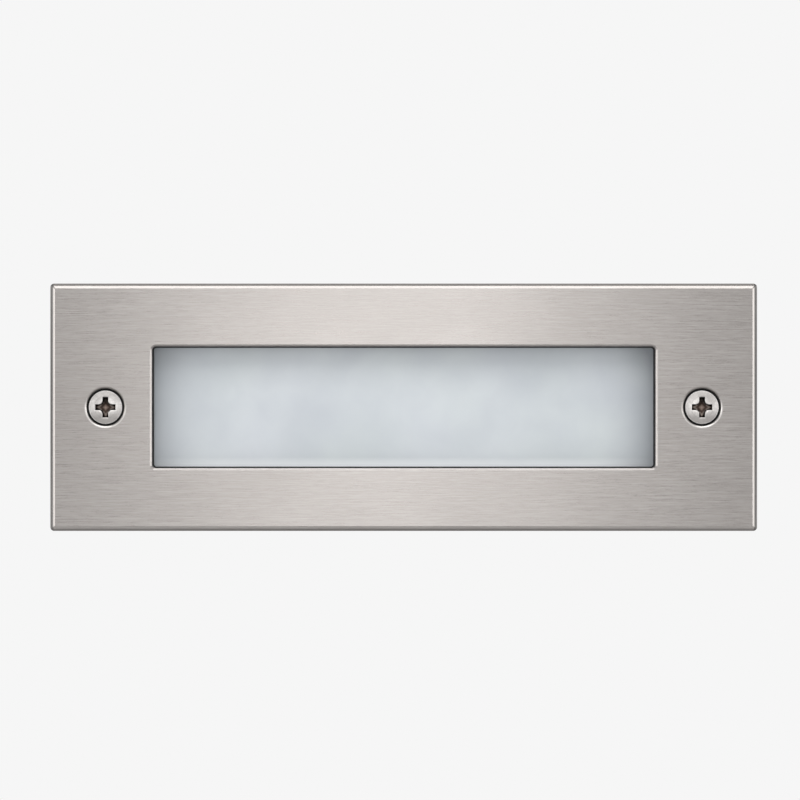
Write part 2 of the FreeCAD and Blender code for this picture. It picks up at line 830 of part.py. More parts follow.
def make_housing_gasket():
    outer = (BOX_LEN, BOX_HT, "box_corner")
    inner = (ROOM_LEN, ROOM_HT, ROOM_CORNER)
    body = make_ring("housing_gasket", BOX_FRONT, "box_gasket_thk", outer, inner)
    eyes = new_sketch(body)
    for x, z in both_signs(SCREW_X):
        add_circle(eyes, "post_rad", x, z)
    pad(eyes, "box_gasket_thk")
    holes = new_sketch(body, "box_gasket_thk")
    for x, z in both_signs(SCREW_X):
        add_circle(holes, "keeper_rad + insert_play", x, z)
    pocket(holes, "box_gasket_thk")


def make_inserts():
    body = new_piece("screw_inserts", depth=INSERT_BACK)
    outline = new_sketch(body)
    for x, z in both_signs(SCREW_X):
        add_circle(outline, "insert_rad", x, z)
        add_circle(outline, "screw_rad + thread_play", x, z)
    pad(outline, "insert_len")


# ------------------------------------------------------- tray, light source, gear

BOARD_SCREWS = both_signs(BOARD_SCREW_X, BOARD_SCREW_Z)
LUG_SCREWS = [(f"({DRIVER_X} - {LUG_X})", "lug_up"), (f"({DRIVER_X} + {LUG_X})", "-lug_up")]
BLOCK_SCREWS = [(BLOCK_X, "pole_pitch / 2"), (BLOCK_X, "-pole_pitch / 2")]
COLUMN_SCREWS = both_signs(COLUMN_X, COLUMN_Z)


def make_tray():
    body = new_piece("gear_tray", depth=TRAY_BACK)
    slab = new_sketch(body)
    add_round_box(slab, TRAY_LEN, TRAY_HT, "tray_corner")
    pad(slab, "tray_thk")
    holes = new_sketch(body, "tray_thk")
    for x, z in COLUMN_SCREWS + BOARD_SCREWS + LUG_SCREWS + BLOCK_SCREWS:
        add_circle(holes, SMALL_HOLE, x, z)
    add_circle(holes, "earth_rad + small_play", EARTH_X, EARTH_Z)
    add_circle(holes, "grommet_rad + grommet_play", GROMMET_X)
    pocket(holes, "tray_thk")
    grip = "reflector_skin + tray_thk + column_bite"
    small_screws("tray_screws", COLUMN_SCREWS, f"{TRAY_FRONT} + reflector_skin", grip, forward=True)


def make_reflector():
    """A white trough round the light source, with a flange under the tray screws."""
    body = new_piece("reflector", depth=TRAY_FRONT)
    flange = new_sketch(body)
    add_round_box(flange, TRAY_LEN, TRAY_HT, "tray_corner")
    pad(flange, "reflector_skin")

    def section(depth, extra, tall):
        sketch = new_sketch(body, depth)
        add_round_box(sketch, f"{MOUTH_LEN} + {extra}", f"{tall} + {extra}", "reflector_corner")
        return sketch

    skin = "2 * reflector_skin"
    loft([section("0", skin, THROAT_HT), section("reflector_deep", skin, MOUTH_HT)])
    loft([section("0", "0", THROAT_HT), section("reflector_deep", "0", MOUTH_HT)], cut=True)
    holes = new_sketch(body, "reflector_skin")
    for x, z in COLUMN_SCREWS:
        add_circle(holes, SMALL_HOLE, x, z)
    pocket(holes, "reflector_skin")


def make_light_source():
    board = new_piece("led_board", depth=TRAY_FRONT)
    slab = new_sketch(board)
    add_round_box(slab, BOARD_LEN, BOARD_HT, "board_corner")
    pad(slab, "board_thk")
    holes = new_sketch(board, "board_thk")
    for x, z in BOARD_SCREWS:
        add_circle(holes, SMALL_HOLE, x, z)
    pocket(holes, "board_thk")
    grip = "board_thk + tray_thk - thread_stop"
    small_screws("board_screws", BOARD_SCREWS, BOARD_FRONT, grip, forward=True)

    leds = new_piece("leds", depth=BOARD_FRONT)
    chip = new_sketch(leds)
    add_box(chip, "led_wide", "led_tall", f"-{LED_ROW} / 2")
    repeated(pad(chip, "led_thk"), "X_Axis", f"{LED_ROW} / {LED_COUNT - 1}", LED_COUNT)

    plug = new_piece("board_connector", PLUG_X, BOARD_FRONT)
    outline = new_sketch(plug)
    add_box(outline, "plug_wide", "plug_tall")
    pad(outline, "plug_rise")
    wires = new_sketch(plug, "-plug_wide / 2", plane="YZ_Plane")
    for up in ("fine_gap", "-fine_gap"):
        add_circle(wires, "fine_rad + small_play", "-plug_hole_up", up)
    pocket(wires, "fine_in + thread_stop", outward=True)


def make_driver():
    body = new_piece("led_driver", DRIVER_X, f"{TRAY_BACK} - driver_deep")
    case = new_sketch(body)
    add_round_box(case, "driver_len", "driver_ht", "driver_corner")
    block = pad(case, "driver_deep")
    eased(block, "lid_deep", at_depth("0"), "Fillet")
    lid = new_sketch(body)
    inset = "2 * (lid_in + lid_deep)"
    add_round_box(lid, f"driver_len - {inset}", f"driver_ht - {inset}", "driver_corner - lid_in")
    pocket(lid, "lid_deep", outward=True)
    lugs = new_sketch(body, "driver_deep - lug_thk")
    for side, up in ((f"-{LUG_X}", "lug_up"), (LUG_X, "-lug_up")):
        add_box(lugs, "lug_out", "lug_tall", side, up)
    pad(lugs, "lug_thk")
    holes = new_sketch(body, "driver_deep")
    for side, up in ((f"-{LUG_X}", "lug_up"), (LUG_X, "-lug_up")):
        add_circle(holes, SMALL_HOLE, side, up)
    pocket(holes, "lug_thk")
    grip = "lug_thk + tray_thk - thread_stop"
    small_screws("driver_screws", LUG_SCREWS, f"{TRAY_BACK} - lug_thk", grip, forward=False)


def make_terminal_block():
    body = new_piece("terminal_block", BLOCK_X, f"{TRAY_BACK} - block_deep")
    case = new_sketch(body)
    add_box(case, "block_len", "block_ht")
    pad(case, "block_deep")
    poles = [(side, up) for side in ("pole_off", "-pole_off") for up in ("pole_pitch", "0", "-pole_pitch")]
    wells = new_sketch(body)
    for x, z in poles:
        add_circle(wells, "pole_well", x, z)
    pocket(wells, "pole_well_deep", outward=True)
    seats = new_sketch(body)
    bolts = new_sketch(body)
    for up in ("pole_pitch / 2", "-pole_pitch / 2"):
        add_circle(seats, "block_well", "0", up)
        add_circle(bolts, SMALL_HOLE, "0", up)
    pocket(seats, "block_deep - block_seat", outward=True)
    pocket(bolts, "block_deep", outward=True)
    wires = new_sketch(body, "-block_len / 2", plane="YZ_Plane")
    for up in ("pole_pitch", "0", "-pole_pitch"):
        add_circle(wires, "wire_hole", "lead_rise - block_deep", up)
    pocket(wires, "block_len", outward=True)

    clamps = new_piece("terminal_clamps", BLOCK_X, f"{TRAY_BACK} - block_deep + pole_well_deep")
    rods = new_sketch(clamps, "-clamp_len")
    slots = new_sketch(clamps, "-clamp_len")
    for x, z in poles:
        add_circle(rods, "clamp_rad", x, z)
        add_box(slots, "2 * clamp_rad + slot_over", "clamp_slot", x, z)
    pad(rods, "clamp_len")
    pocket(slots, "clamp_slot", outward=True)
    grip = "block_seat + tray_thk - thread_stop"
    small_screws("terminal_screws", BLOCK_SCREWS, f"{TRAY_BACK} - block_seat", grip, forward=False)


def make_earth():
    """A ring tag and a toothed washer under a screw in the tray, beside the terminal block."""
    tag = new_piece("earth_tag", EARTH_X, f"{TRAY_BACK} - tag_thk", EARTH_Z)
    ring = new_sketch(tag)
    add_circle(ring, "tag_rad")
    pad(ring, "tag_thk")
    tongue = new_sketch(tag)
    add_box(tongue, "tag_neck", "(barrel_from + barrel_bore)", "0", "(barrel_from + barrel_bore) / 2")
    pad(tongue, "tag_thk")
    barrel = new_sketch(tag, "barrel_from", plane="XY_Plane")
    add_circle(barrel, "barrel_rad", "0", "barrel_rad - tag_thk")
    pad(barrel, "barrel_len")
    throat = new_sketch(tag, "barrel_from + barrel_len", plane="XY_Plane")
    add_circle(throat, "barrel_bore", "0", "barrel_rad - tag_thk")
    pocket(throat, "barrel_len - barrel_bore")
    hole = new_sketch(tag, "tag_thk")
    add_circle(hole, "earth_rad + small_play")
    pocket(hole, "tag_thk")

    washer = new_piece("earth_washer", EARTH_X, f"{TRAY_BACK} - tag_thk - earth_washer_thk", EARTH_Z)
    corners = []
    for number in range(2 * TOOTH_COUNT):
        angle = 180 / TOOTH_COUNT * number
        reach = "earth_washer_rad" if number % 2 == 0 else "earth_washer_rad - tooth_deep"
        corners.append((f"({reach}) * cos({angle})", f"({reach}) * sin({angle})"))
    outline = new_sketch(washer)
    add_polygon(outline, corners)
    add_circle(outline, "earth_rad + small_play")
    pad(outline, "earth_washer_thk")

    seat = f"{TRAY_BACK} - tag_thk - earth_washer_thk"
    grip = "tag_thk + earth_washer_thk + tray_thk - thread_stop"
    small_screws("earth_screw", [(EARTH_X, EARTH_Z)], seat, grip, False, "earth")


# --------------------------------------------------------------- internal wiring


def lead_path(corners):
    """Straight runs through the corners, joined by arcs as large as the runs allow."""
    spots = [Vector(size(x), -size(depth), size(z)) for x, depth, z in corners]
    edges = []
    radii = []
    last = spots[0]
    for before, corner, after in zip(spots, spots[1:], spots[2:]):
        back = (before - corner).normalize()
        ahead = (after - corner).normalize()
        trim = ARC_SHARE * min(corner.distanceToPoint(before), corner.distanceToPoint(after))
        half_turn = (math.pi - back.getAngle(ahead)) / 2
        radius = trim / math.tan(half_turn)
        centre = corner + (back + ahead).normalize() * (radius / math.cos(half_turn))
        start = corner + back * trim
        middle = centre + (corner - centre).normalize() * radius
        end = corner + ahead * trim
        edges.append(Part.LineSegment(last, start).toShape())
        edges.append(Part.Arc(start, middle, end).toShape())
        radii.append(round(radius, 2))
        last = end
    edges.append(Part.LineSegment(last, spots[-1]).toShape())
    return Part.Wire(edges), radii


def make_leads(name, routes, radius):
    """Round leads along their routes, each one unbroken tube."""
    tubes = []
    for corners in routes:
        path, radii = lead_path(corners)
        first = path.Edges[0]
        start = first.valueAt(first.FirstParameter)
        heading = first.tangentAt(first.FirstParameter)
        section = Part.Wire(Part.Circle(start, heading, size(radius)).toShape())
        tube = path.makePipeShell([section], True, True)
        expected = math.pi * size(radius) ** 2 * path.Length
        if abs(tube.Volume - expected) > TUBE_TOLERANCE * expected:
            raise RuntimeError(f"{name}: the tube's volume is off")
        print(f"{name}: bend radii {radii}, length {path.Length:.1f}")
        tubes.append(tube)
    item = doc.addObject("Part::Feature", name)
    item.Label = name
    item.Shape = tubes[0] if len(tubes) == 1 else Part.makeCompound(tubes)
    item.Placement = FreeCAD.Placement()


def make_wiring():
    level = f"({TRAY_BACK} - lead_rise)"
    block_left = f"({BLOCK_X} - block_len / 2)"
    quarter = "block_gap / 3"
    supply = []
    for start, pole in (("lead_apart", "0"), ("-lead_apart", "-pole_pitch")):
        supply.append(
            [
                (DRIVER_END, level, start),
                (f"{DRIVER_END} + {quarter}", level, start),
                (f"{block_left} - {quarter}", level, pole),
                (f"{block_left} + lead_in", level, pole),
            ]
        )
    make_leads("supply_leads", supply, "lead_rad")

    plug_face = f"({PLUG_X} - plug_wide / 2)"
    front = f"({BOARD_FRONT} + plug_hole_up)"
    behind = f"({TRAY_BACK} - fine_rise)"
    fine = []
    for up in ("fine_gap", "-fine_gap"):
        fine.append(
            [
                (f"{plug_face} + fine_in", front, up),
                (GROMMET_X, front, up),
                (GROMMET_X, behind, up),
                (f"{DRIVER_X} - driver_len / 2", behind, up),
            ]
        )
    make_leads("led_leads", fine, "fine_rad")

    barrel = f"({TRAY_BACK} - barrel_rad)"
    inner_end = f"({EARTH_Z} + barrel_from + barrel_len / 2)"
    block_right = f"({BLOCK_X} + block_len / 2)"
    earth = [
        (EARTH_X, barrel, inner_end),
        (EARTH_X, barrel, "pole_pitch"),
        (block_right, level, "pole_pitch"),
        (f"{block_right} - lead_in - barrel_rad", level, "pole_pitch"),
    ]
    make_leads("earth_lead", [earth], "lead_rad")

    grommet = new_piece("lead_grommet", GROMMET_X, TRAY_BACK)
    turned(
        grommet,
        [
            ("grommet_bore", "-grommet_lip_thk"),
            ("grommet_lip", "-grommet_lip_thk"),
            ("grommet_lip", "0"),
            ("grommet_rad", "0"),
            ("grommet_rad", "tray_thk"),
            ("grommet_lip", "tray_thk"),
            ("grommet_lip", "tray_thk + grommet_lip_thk"),
            ("grommet_bore", "tray_thk + grommet_lip_thk"),
        ],
    )


# ------------------------------------------------------------------ cable entries

ENTRY_THREAD = "(entry_seal_thk + back_wall + locknut_thk + locknut_show)"


def make_entries():
    """Two threaded entries in the back wall: a cable gland, and a plug in the spare one."""
    seals = new_piece("entry_seals", depth=f"{BOX_BACK} - entry_seal_thk")
    outline = new_sketch(seals)
    for x, z in both_signs(ENTRY_X):
        add_circle(outline, "entry_seal_rad", x, z)
        add_circle(outline, "entry_rad + entry_play", x, z)
    pad(outline, "entry_seal_thk")

    nuts = new_piece("entry_locknuts", depth=BOX_FLOOR)
    outline = new_sketch(nuts)
    for x, z in both_signs(ENTRY_X):
        add_hexagon(outline, "locknut_flats", x, z)
        add_circle(outline, "entry_rad + locknut_play", x, z)
    pad(outline, "locknut_thk")

    spare = new_piece("entry_plug", f"-{ENTRY_X}", f"{BOX_BACK} - entry_seal_thk")
    head = new_sketch(spare, "-spare_thk")
    add_circle(head, "spare_rad")
    disc = pad(head, "spare_thk")
    eased(disc, "tip_bevel", at_depth("-spare_thk"))
    thread = new_sketch(spare)
    add_circle(thread, "entry_rad")
    rod = pad(thread, ENTRY_THREAD)
    eased(rod, "tip_bevel", at_depth(ENTRY_THREAD))
    key = new_sketch(spare, "-spare_thk")
    add_hexagon(key, "spare_key")
    pocket(key, "spare_key_deep", outward=True)


def make_gland():
    foot = f"{BOX_BACK} - entry_seal_thk"
    body = new_piece("gland_body", ENTRY_X, foot)
    neck_end = "(gland_hex_thk + gland_neck_len)"
    neck = new_sketch(body, f"-{neck_end}")
    add_circle(neck, "gland_neck_rad")
    pad(neck, "gland_neck_len")
    hexagon = new_sketch(body, "-gland_hex_thk")
    add_hexagon(hexagon, "gland_flats")
    pad(hexagon, "gland_hex_thk")
    thread = new_sketch(body)
    add_circle(thread, "entry_rad")
    rod = pad(thread, ENTRY_THREAD)
    eased(rod, "tip_bevel", at_depth(ENTRY_THREAD))
    bore = new_sketch(body, ENTRY_THREAD)
    add_circle(bore, "gland_bore")
    pocket(bore, f"{ENTRY_THREAD} + {neck_end}")
    seat = new_sketch(body, f"-{neck_end}")
    add_circle(seat, "gland_seat_rad")
    pocket(seat, "gland_neck_len", outward=True)

    seal = new_piece("gland_seal", ENTRY_X, f"{foot} - gland_hex_thk")
    turned(
        seal,
        [
            ("seal_bore", "-seal_len"),
            ("seal_rad - tip_bevel", "-seal_len"),
            ("seal_rad", "tip_bevel - seal_len"),
            ("seal_rad", "0"),
            ("seal_bore", "0"),
        ],
    )

    slip = new_piece("gland_slip_ring", ENTRY_X, f"{foot} - gland_hex_thk - seal_len")
    turned(
        slip,
        [
            ("slip_bore", "-slip_thk"),
            ("seal_rad", "-slip_thk"),
            ("seal_rad", "0"),
            ("slip_bore", "0"),
        ],
    )

    nut = new_piece("gland_nut", ENTRY_X, f"{foot} - gland_hex_thk - seal_len - slip_thk")
    skirt = "(seal_len + slip_thk - cap_gap)"
    hexagon = new_sketch(nut)
    add_hexagon(hexagon, "gland_flats")
    pad(hexagon, skirt)
    foot_ring = new_sketch(nut)
    add_circle(foot_ring, "gland_flats / 2")
    tip = new_sketch(nut, "-cap_end")
    add_circle(tip, "cap_tip_rad")
    loft([foot_ring, tip])
    bore = new_sketch(nut)
    add_circle(bore, "gland_neck_rad + cap_play")
    pocket(bore, skirt, outward=True)
    mouth = new_sketch(nut, "-cap_end")
    add_circle(mouth, "cap_mouth")
    pocket(mouth, "cap_end", outward=True)


# ----------------------------------------------------------------- make and write

make_faceplate()
make_lens_group()
make_wall_gasket()
make_face_screw("left", f"-{SCREW_X}")
make_face_screw("right", SCREW_X)
make_screw_keepers()
make_housing()
make_housing_gasket()
make_inserts()
make_tray()
make_reflector()
make_light_source()
make_driver()
make_terminal_block()
make_earth()
make_wiring()
make_entries()
make_gland()

doc.recompute()
for item in doc.Objects:
    if "Invalid" in item.State or "Error" in item.State:
        raise RuntimeError(f"{item.Label} did not compute: {item.State}")

pieces = [item for item in doc.Objects if item.TypeId in ("PartDesign::Body", "Part::Feature")]
for item in pieces:
    if item.Shape.isNull() or not item.Shape.isValid() or not item.Shape.Solids:
        raise RuntimeError(f"{item.Label} has no valid solid")

os.makedirs("parts", exist_ok=True)
for item in pieces:
    item.Shape.exportStep(f"parts/{item.Label}.step")
    print(f"{item.Label}: {len(item.Shape.Solids)} solid(s), {item.Shape.Volume:.1f} mm3")
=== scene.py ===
"""The look of a recessed step light: its finishes, the light and the camera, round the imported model.

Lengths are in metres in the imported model's frame: +X is right, +Z is up and the viewer is on the -Y side.
The plate lies on the wall face y = 0, and the box stands behind it.
"""
import json
import math
import random

import bmesh
import bpy
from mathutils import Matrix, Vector

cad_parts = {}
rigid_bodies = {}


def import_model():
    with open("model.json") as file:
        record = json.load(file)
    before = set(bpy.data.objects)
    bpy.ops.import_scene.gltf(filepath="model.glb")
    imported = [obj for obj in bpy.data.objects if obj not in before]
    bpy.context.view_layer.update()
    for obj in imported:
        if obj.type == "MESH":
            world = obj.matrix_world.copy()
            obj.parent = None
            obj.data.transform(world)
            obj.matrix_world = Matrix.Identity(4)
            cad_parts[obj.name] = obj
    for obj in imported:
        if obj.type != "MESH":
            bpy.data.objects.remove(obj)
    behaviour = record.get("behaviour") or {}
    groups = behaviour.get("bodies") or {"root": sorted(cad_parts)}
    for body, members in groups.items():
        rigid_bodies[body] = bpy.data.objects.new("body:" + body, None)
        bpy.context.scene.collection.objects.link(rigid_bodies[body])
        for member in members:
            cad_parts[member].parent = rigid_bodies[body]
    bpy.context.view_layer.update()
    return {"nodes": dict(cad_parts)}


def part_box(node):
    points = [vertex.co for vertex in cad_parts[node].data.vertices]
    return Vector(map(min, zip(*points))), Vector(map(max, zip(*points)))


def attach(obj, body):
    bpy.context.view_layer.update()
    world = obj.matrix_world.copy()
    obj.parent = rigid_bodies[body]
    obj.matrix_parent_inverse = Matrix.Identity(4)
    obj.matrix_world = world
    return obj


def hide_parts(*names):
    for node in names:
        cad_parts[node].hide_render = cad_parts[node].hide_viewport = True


MM = 0.001

# The start-up scene's own objects go first.
for left_over in list(bpy.data.objects):
    bpy.data.objects.remove(left_over)
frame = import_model()
chance = random.Random(7)


# ---------------------------------------------------------------- sizes and places
def middle_x(node):
    """The x of a node's middle."""
    low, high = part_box(node)
    return (low.x + high.x) / 2


# The plate's upper right corner, and the circuit board with the sources on its face.
PLATE_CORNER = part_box("faceplate")[1]
BOARD_LOW, BOARD_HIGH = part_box("led_board")
BOARD_FACE = BOARD_LOW.y
TRACK_PITCH = 20 * MM
SOURCE_DISH = 0.20 * MM

# The face screws, from the face of the head back to the tip, and the wells that their heads sit in.
SCREW_X = (middle_x("right_screw") - middle_x("left_screw")) / 2
WELL_RADIUS = 5.40 * MM
HEAD_FACE, HEAD_BACK = -4.95 * MM, -3.30 * MM
NECK_END, TIP_END = 9.4 * MM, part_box("right_screw")[1].y
NECK_RADIUS, TIP_RADIUS, LEAST_RADIUS = 2.05 * MM, 1.95 * MM, 1.20 * MM

# The thread's profile is a share of the pitch along the screw, and the radius there.
CREST, ROOT, PITCH = 2.45 * MM, 2.02 * MM, 0.8 * MM
THREAD_PROFILE = ((0.0, CREST), (0.14, CREST), (0.48, ROOT), (0.66, ROOT))
THREAD_STEPS = 32

SHARP_ANGLE = math.radians(35)
BACKGROUND = (246, 246, 246)


# ---------------------------------------------------------------- how a finish is made
def srgb(red, green, blue):
    """A colour as it is written on screen, 0 to 255, as the linear colour that a shader takes."""
    linear = []
    for value in (red, green, blue):
        share = value / 255
        linear.append(share / 12.92 if share <= 0.04045 else ((share + 0.055) / 1.055) ** 2.4)
    return (*linear, 1.0)


class Finish:
    """A procedural material: a Principled shader, and short calls that add nodes in front of it."""

    def __init__(self, name, **values):
        self.material = bpy.data.materials.new(name)
        self.material.use_nodes = True
        self.tree = self.material.node_tree
        self.shader = next(n for n in self.tree.nodes if n.type == "BSDF_PRINCIPLED")
        self.place = self.node("TexCoord").outputs["Object"]
        self.normal = None
        for key, value in values.items():
            self.shader.inputs[key.replace("_", " ")].default_value = value

    def node(self, kind, **settings):
        """A new shader node of a kind, with its settings."""
        made = self.tree.nodes.new("ShaderNode" + kind)
        for key, value in settings.items():
            setattr(made, key, value)
        return made

    def feed(self, socket, value):
        """Sets a socket to a number or colour, or links another node's output to it."""
        if isinstance(value, bpy.types.NodeSocket):
            self.tree.links.new(value, socket)
        else:
            socket.default_value = value

    def math(self, operation, *values):
        """The result of a Math node on numbers or sockets."""
        made = self.node("Math", operation=operation)
        for socket, value in zip(made.inputs, values):
            self.feed(socket, value)
        return made.outputs[0]

    def axis(self, name):
        """One of the object coordinates, in metres."""
        made = self.node("SeparateXYZ")
        self.feed(made.inputs[0], self.place)
        return made.outputs[name]

    def stretched(self, size, stretch):
        """The object's coordinates in units of size, drawn out by stretch along x, y and z."""
        made = self.node("Mapping")
        self.feed(made.inputs["Vector"], self.place)
        made.inputs["Scale"].default_value = [1 / (size * share) for share in stretch]
        made.inputs["Location"].default_value = [chance.uniform(0, 50) for _ in range(3)]
        return made.outputs[0]

    def noise(self, size, stretch=(1, 1, 1), detail=3.0, rough=0.55, twist=0.0):
        """Soft noise, 0 to 1 and mostly 0.3 to 0.7, whose lumps are size metres across."""
        made = self.node("TexNoise")
        self.feed(made.inputs["Vector"], self.stretched(size, stretch))
        made.inputs["Scale"].default_value = 1.0
        made.inputs["Detail"].default_value = detail
        made.inputs["Roughness"].default_value = rough
        made.inputs["Distortion"].default_value = twist
        return made.outputs[0]

    def cells(self, size):
        """The distance from the middles of random cells, size metres across."""
        made = self.node("TexVoronoi")
        self.feed(made.inputs["Vector"], self.stretched(size, (1, 1, 1)))
        made.inputs["Scale"].default_value = 1.0
        return made.outputs["Distance"]

    def spread(self, value, low, high, start=0.3, end=0.7, smooth=False):
        """value from start to end becomes low to high, and no further."""
        made = self.node("MapRange", interpolation_type="SMOOTHSTEP" if smooth else "LINEAR")
        for name, number in (("From Min", start), ("From Max", end), ("To Min", low), ("To Max", high)):
            made.inputs[name].default_value = number
        self.feed(made.inputs["Value"], value)
        return made.outputs[0]

    def mix(self, share, first, second):
        """first where share is 0 and second where it is 1."""
        made = self.node("Mix", data_type="RGBA")
        self.feed(made.inputs["Factor"], share)
        self.feed(made.inputs[6], first)
        self.feed(made.inputs[7], second)
        return made.outputs[2]

    def edges(self, reach):
        """1 on the edges, down to 0 at reach metres from them."""
        soft = self.node("Bevel", samples=4)
        soft.inputs["Radius"].default_value = reach
        made = self.node("VectorMath", operation="DOT_PRODUCT")
        self.feed(made.inputs[0], soft.outputs[0])
        self.feed(made.inputs[1], self.node("NewGeometry").outputs["Normal"])
        return self.spread(made.outputs["Value"], 1.0, 0.0, 0.86, 0.995)

    def round_edges(self, radius):
        """Shades the edges as if they were eased by radius."""
        soft = self.node("Bevel", samples=4)
        soft.inputs["Radius"].default_value = radius
        self.normal = soft.outputs[0]
        self.feed(self.shader.inputs["Normal"], self.normal)

    def bump(self, height, depth, strength=1.0):
        """Raises the surface by depth metres where height is 1."""
        made = self.node("Bump")
        made.inputs["Distance"].default_value = depth
        made.inputs["Strength"].default_value = strength
        self.feed(made.inputs["Height"], height)
        if self.normal:
            self.feed(made.inputs["Normal"], self.normal)
        self.normal = made.outputs[0]
        self.feed(self.shader.inputs["Normal"], self.normal)

    def colour(self, value):
        self.feed(self.shader.inputs["Base Color"], value)

    def roughness(self, value):
        self.feed(self.shader.inputs["Roughness"], value)


# ---------------------------------------------------------------- finishes
def plate_steel():
    """Stainless plate, brushed along x and worn pale on its edges, with painted shade on its cut bevels and
    in the screws' wells, and a painted highlight on the wells' lower lips.
    """
    f = Finish("plate_steel", Metallic=1.0, Anisotropic=0.72)
    tangent = f.node("Tangent", direction_type="RADIAL", axis="X")
    f.feed(f.shader.inputs["Tangent"], tangent.outputs[0])
    long_lines = f.noise(0.27 * MM, stretch=(64, 1, 1), detail=4.0, rough=0.7)
    short_lines = f.noise(0.16 * MM, stretch=(26, 1, 1), detail=3.0, rough=0.75)
    lines = f.math("MULTIPLY", f.math("ADD", long_lines, short_lines), 0.5)
    smudges = f.noise(18 * MM, stretch=(1.6, 1, 1), detail=4.0)
    steel = f.mix(f.spread(lines, 0.0, 1.0, 0.36, 0.64), srgb(143, 138, 135), srgb(168, 164, 161))
    steel = f.mix(f.spread(smudges, 0.0, 0.10), steel, srgb(136, 132, 129))
    pale_edges = f.math("MULTIPLY", f.edges(0.30 * MM), f.spread(f.noise(1.6 * MM), 0.15, 0.6))
    steel = f.mix(pale_edges, steel, srgb(206, 203, 200))
    f.colour(with_painted_well_shade(f, with_painted_bevel_shade(f, steel)))
    f.roughness(f.math("ADD", f.spread(lines, -0.05, 0.05), f.spread(smudges, 0.288, 0.304)))
    f.round_edges(0.12 * MM)
    f.bump(lines, 0.006 * MM, 0.6)
    return f.material


def with_painted_bevel_shade(f, steel):
    """Painted shade on the cut bevels round the plate, stronger on the top rim than the bottom one."""
    from_side = f.math("SUBTRACT", PLATE_CORNER.x, f.math("ABSOLUTE", f.axis("X")))
    from_top = f.math("SUBTRACT", PLATE_CORNER.z, f.math("ABSOLUTE", f.axis("Z")))
    # Painted shade: the side bevels and their outer rims are coloured dark grey.
    side_bevel_shade = f.spread(from_side, 1.0, 0.0, 0.80 * MM, 1.04 * MM)
    steel = f.mix(side_bevel_shade, steel, srgb(103, 101, 99))
    side_rim_shade = f.spread(from_side, 1.0, 0.0, 0.36 * MM, 0.44 * MM)
    steel = f.mix(side_rim_shade, steel, srgb(134, 131, 129))
    # Painted shade on the top and bottom rims, stronger on the top one.
    long_rim_shade = f.math("MULTIPLY", f.spread(from_top, 1.0, 0.0, 0.64 * MM, 0.78 * MM),
                      f.spread(f.axis("Z"), 0.55, 0.85, -10 * MM, 10 * MM))
    return f.mix(long_rim_shade, steel, srgb(98, 95, 93))


def with_painted_well_shade(f, steel):
    """Painted shade inside the screws' wells, and a lip painted pale below as a highlight and grey above as
    shade.
    """
    radius = screw_radius(f)
    up = f.math("DIVIDE", f.axis("Z"), radius)
    # Painted highlight on each well's lower lip, painted shade on its upper lip.
    lip_highlight_and_shade = f.mix(f.spread(up, 0.0, 1.0, -0.4, 0.75), srgb(204, 201, 198), srgb(132, 128, 125))
    lip = f.spread(radius, 0.9, 0.0, WELL_RADIUS + 0.40 * MM, WELL_RADIUS + 0.60 * MM)
    steel = f.mix(lip, steel, lip_highlight_and_shade)
    # Painted shade inside each well.
    well_shade = f.spread(radius, 0.85, 0.0, WELL_RADIUS - 0.04 * MM, WELL_RADIUS + 0.04 * MM)
    return f.mix(well_shade, steel, srgb(34, 33, 32))


def screw_across(f):
    """How far a point lies outward, along x, from the nearer face screw's axis."""
    return f.math("SUBTRACT", f.math("ABSOLUTE", f.axis("X")), SCREW_X)


def screw_radius(f):
    """The distance from the nearer face screw's axis."""
    across = f.math("POWER", screw_across(f), 2.0)
    return f.math("SQRT", f.math("ADD", across, f.math("POWER", f.axis("Z"), 2.0)))


def screw_steel():
    """Tumbled screws, with a painted highlight on the rim of the head, painted shade towards their top and
    foot and in the roots of the thread, and a brown coating with painted shade in the cross recess.
    """
    f = Finish("screw_steel", Metallic=1.0)
    grain = f.noise(0.5 * MM, detail=5.0, rough=0.7)
    patches = f.noise(2.2 * MM, detail=3.0)
    steel = f.mix(f.spread(grain, 0.0, 1.0), srgb(194, 190, 187), srgb(234, 231, 228))
    steel = f.mix(f.spread(patches, 0.0, 0.45), steel, srgb(172, 168, 165))
    # Painted shade on the screw's lower and upper sides.
    painted_shade_top_and_foot = f.math("ADD", f.spread(f.axis("Z"), 0.72, 0.0, -3.4 * MM, -0.6 * MM, smooth=True),
                  f.spread(f.axis("Z"), 0.0, 0.38, 0.8 * MM, 3.6 * MM, smooth=True))
    steel = f.mix(painted_shade_top_and_foot, steel, srgb(140, 136, 133))
    # Painted highlight on the edges of the head.
    head = f.spread(f.axis("Y"), 1.0, 0.0, HEAD_BACK - 0.1 * MM, HEAD_BACK + 0.1 * MM)
    steel = f.mix(f.math("MULTIPLY", f.edges(0.38 * MM), head), steel, srgb(253, 251, 249))
    # Painted shade in the roots of the thread.
    root = f.math("MULTIPLY", f.spread(screw_radius(f), 0.85, 0.0, ROOT + 0.02 * MM, CREST - 0.07 * MM),
                  f.spread(f.axis("Y"), 0.0, 1.0, NECK_END - 0.4 * MM, NECK_END))
    steel = f.mix(root, steel, srgb(84, 81, 78))
    recess, film_and_shade = recess_film_and_shade(f)
    f.colour(f.mix(recess, steel, film_and_shade))
    f.roughness(f.math("ADD", f.spread(grain, 0.32, 0.44), f.math("MULTIPLY", recess, 0.15)))
    f.round_edges(0.12 * MM)
    f.bump(grain, 0.02 * MM, 0.5)
    return f.material


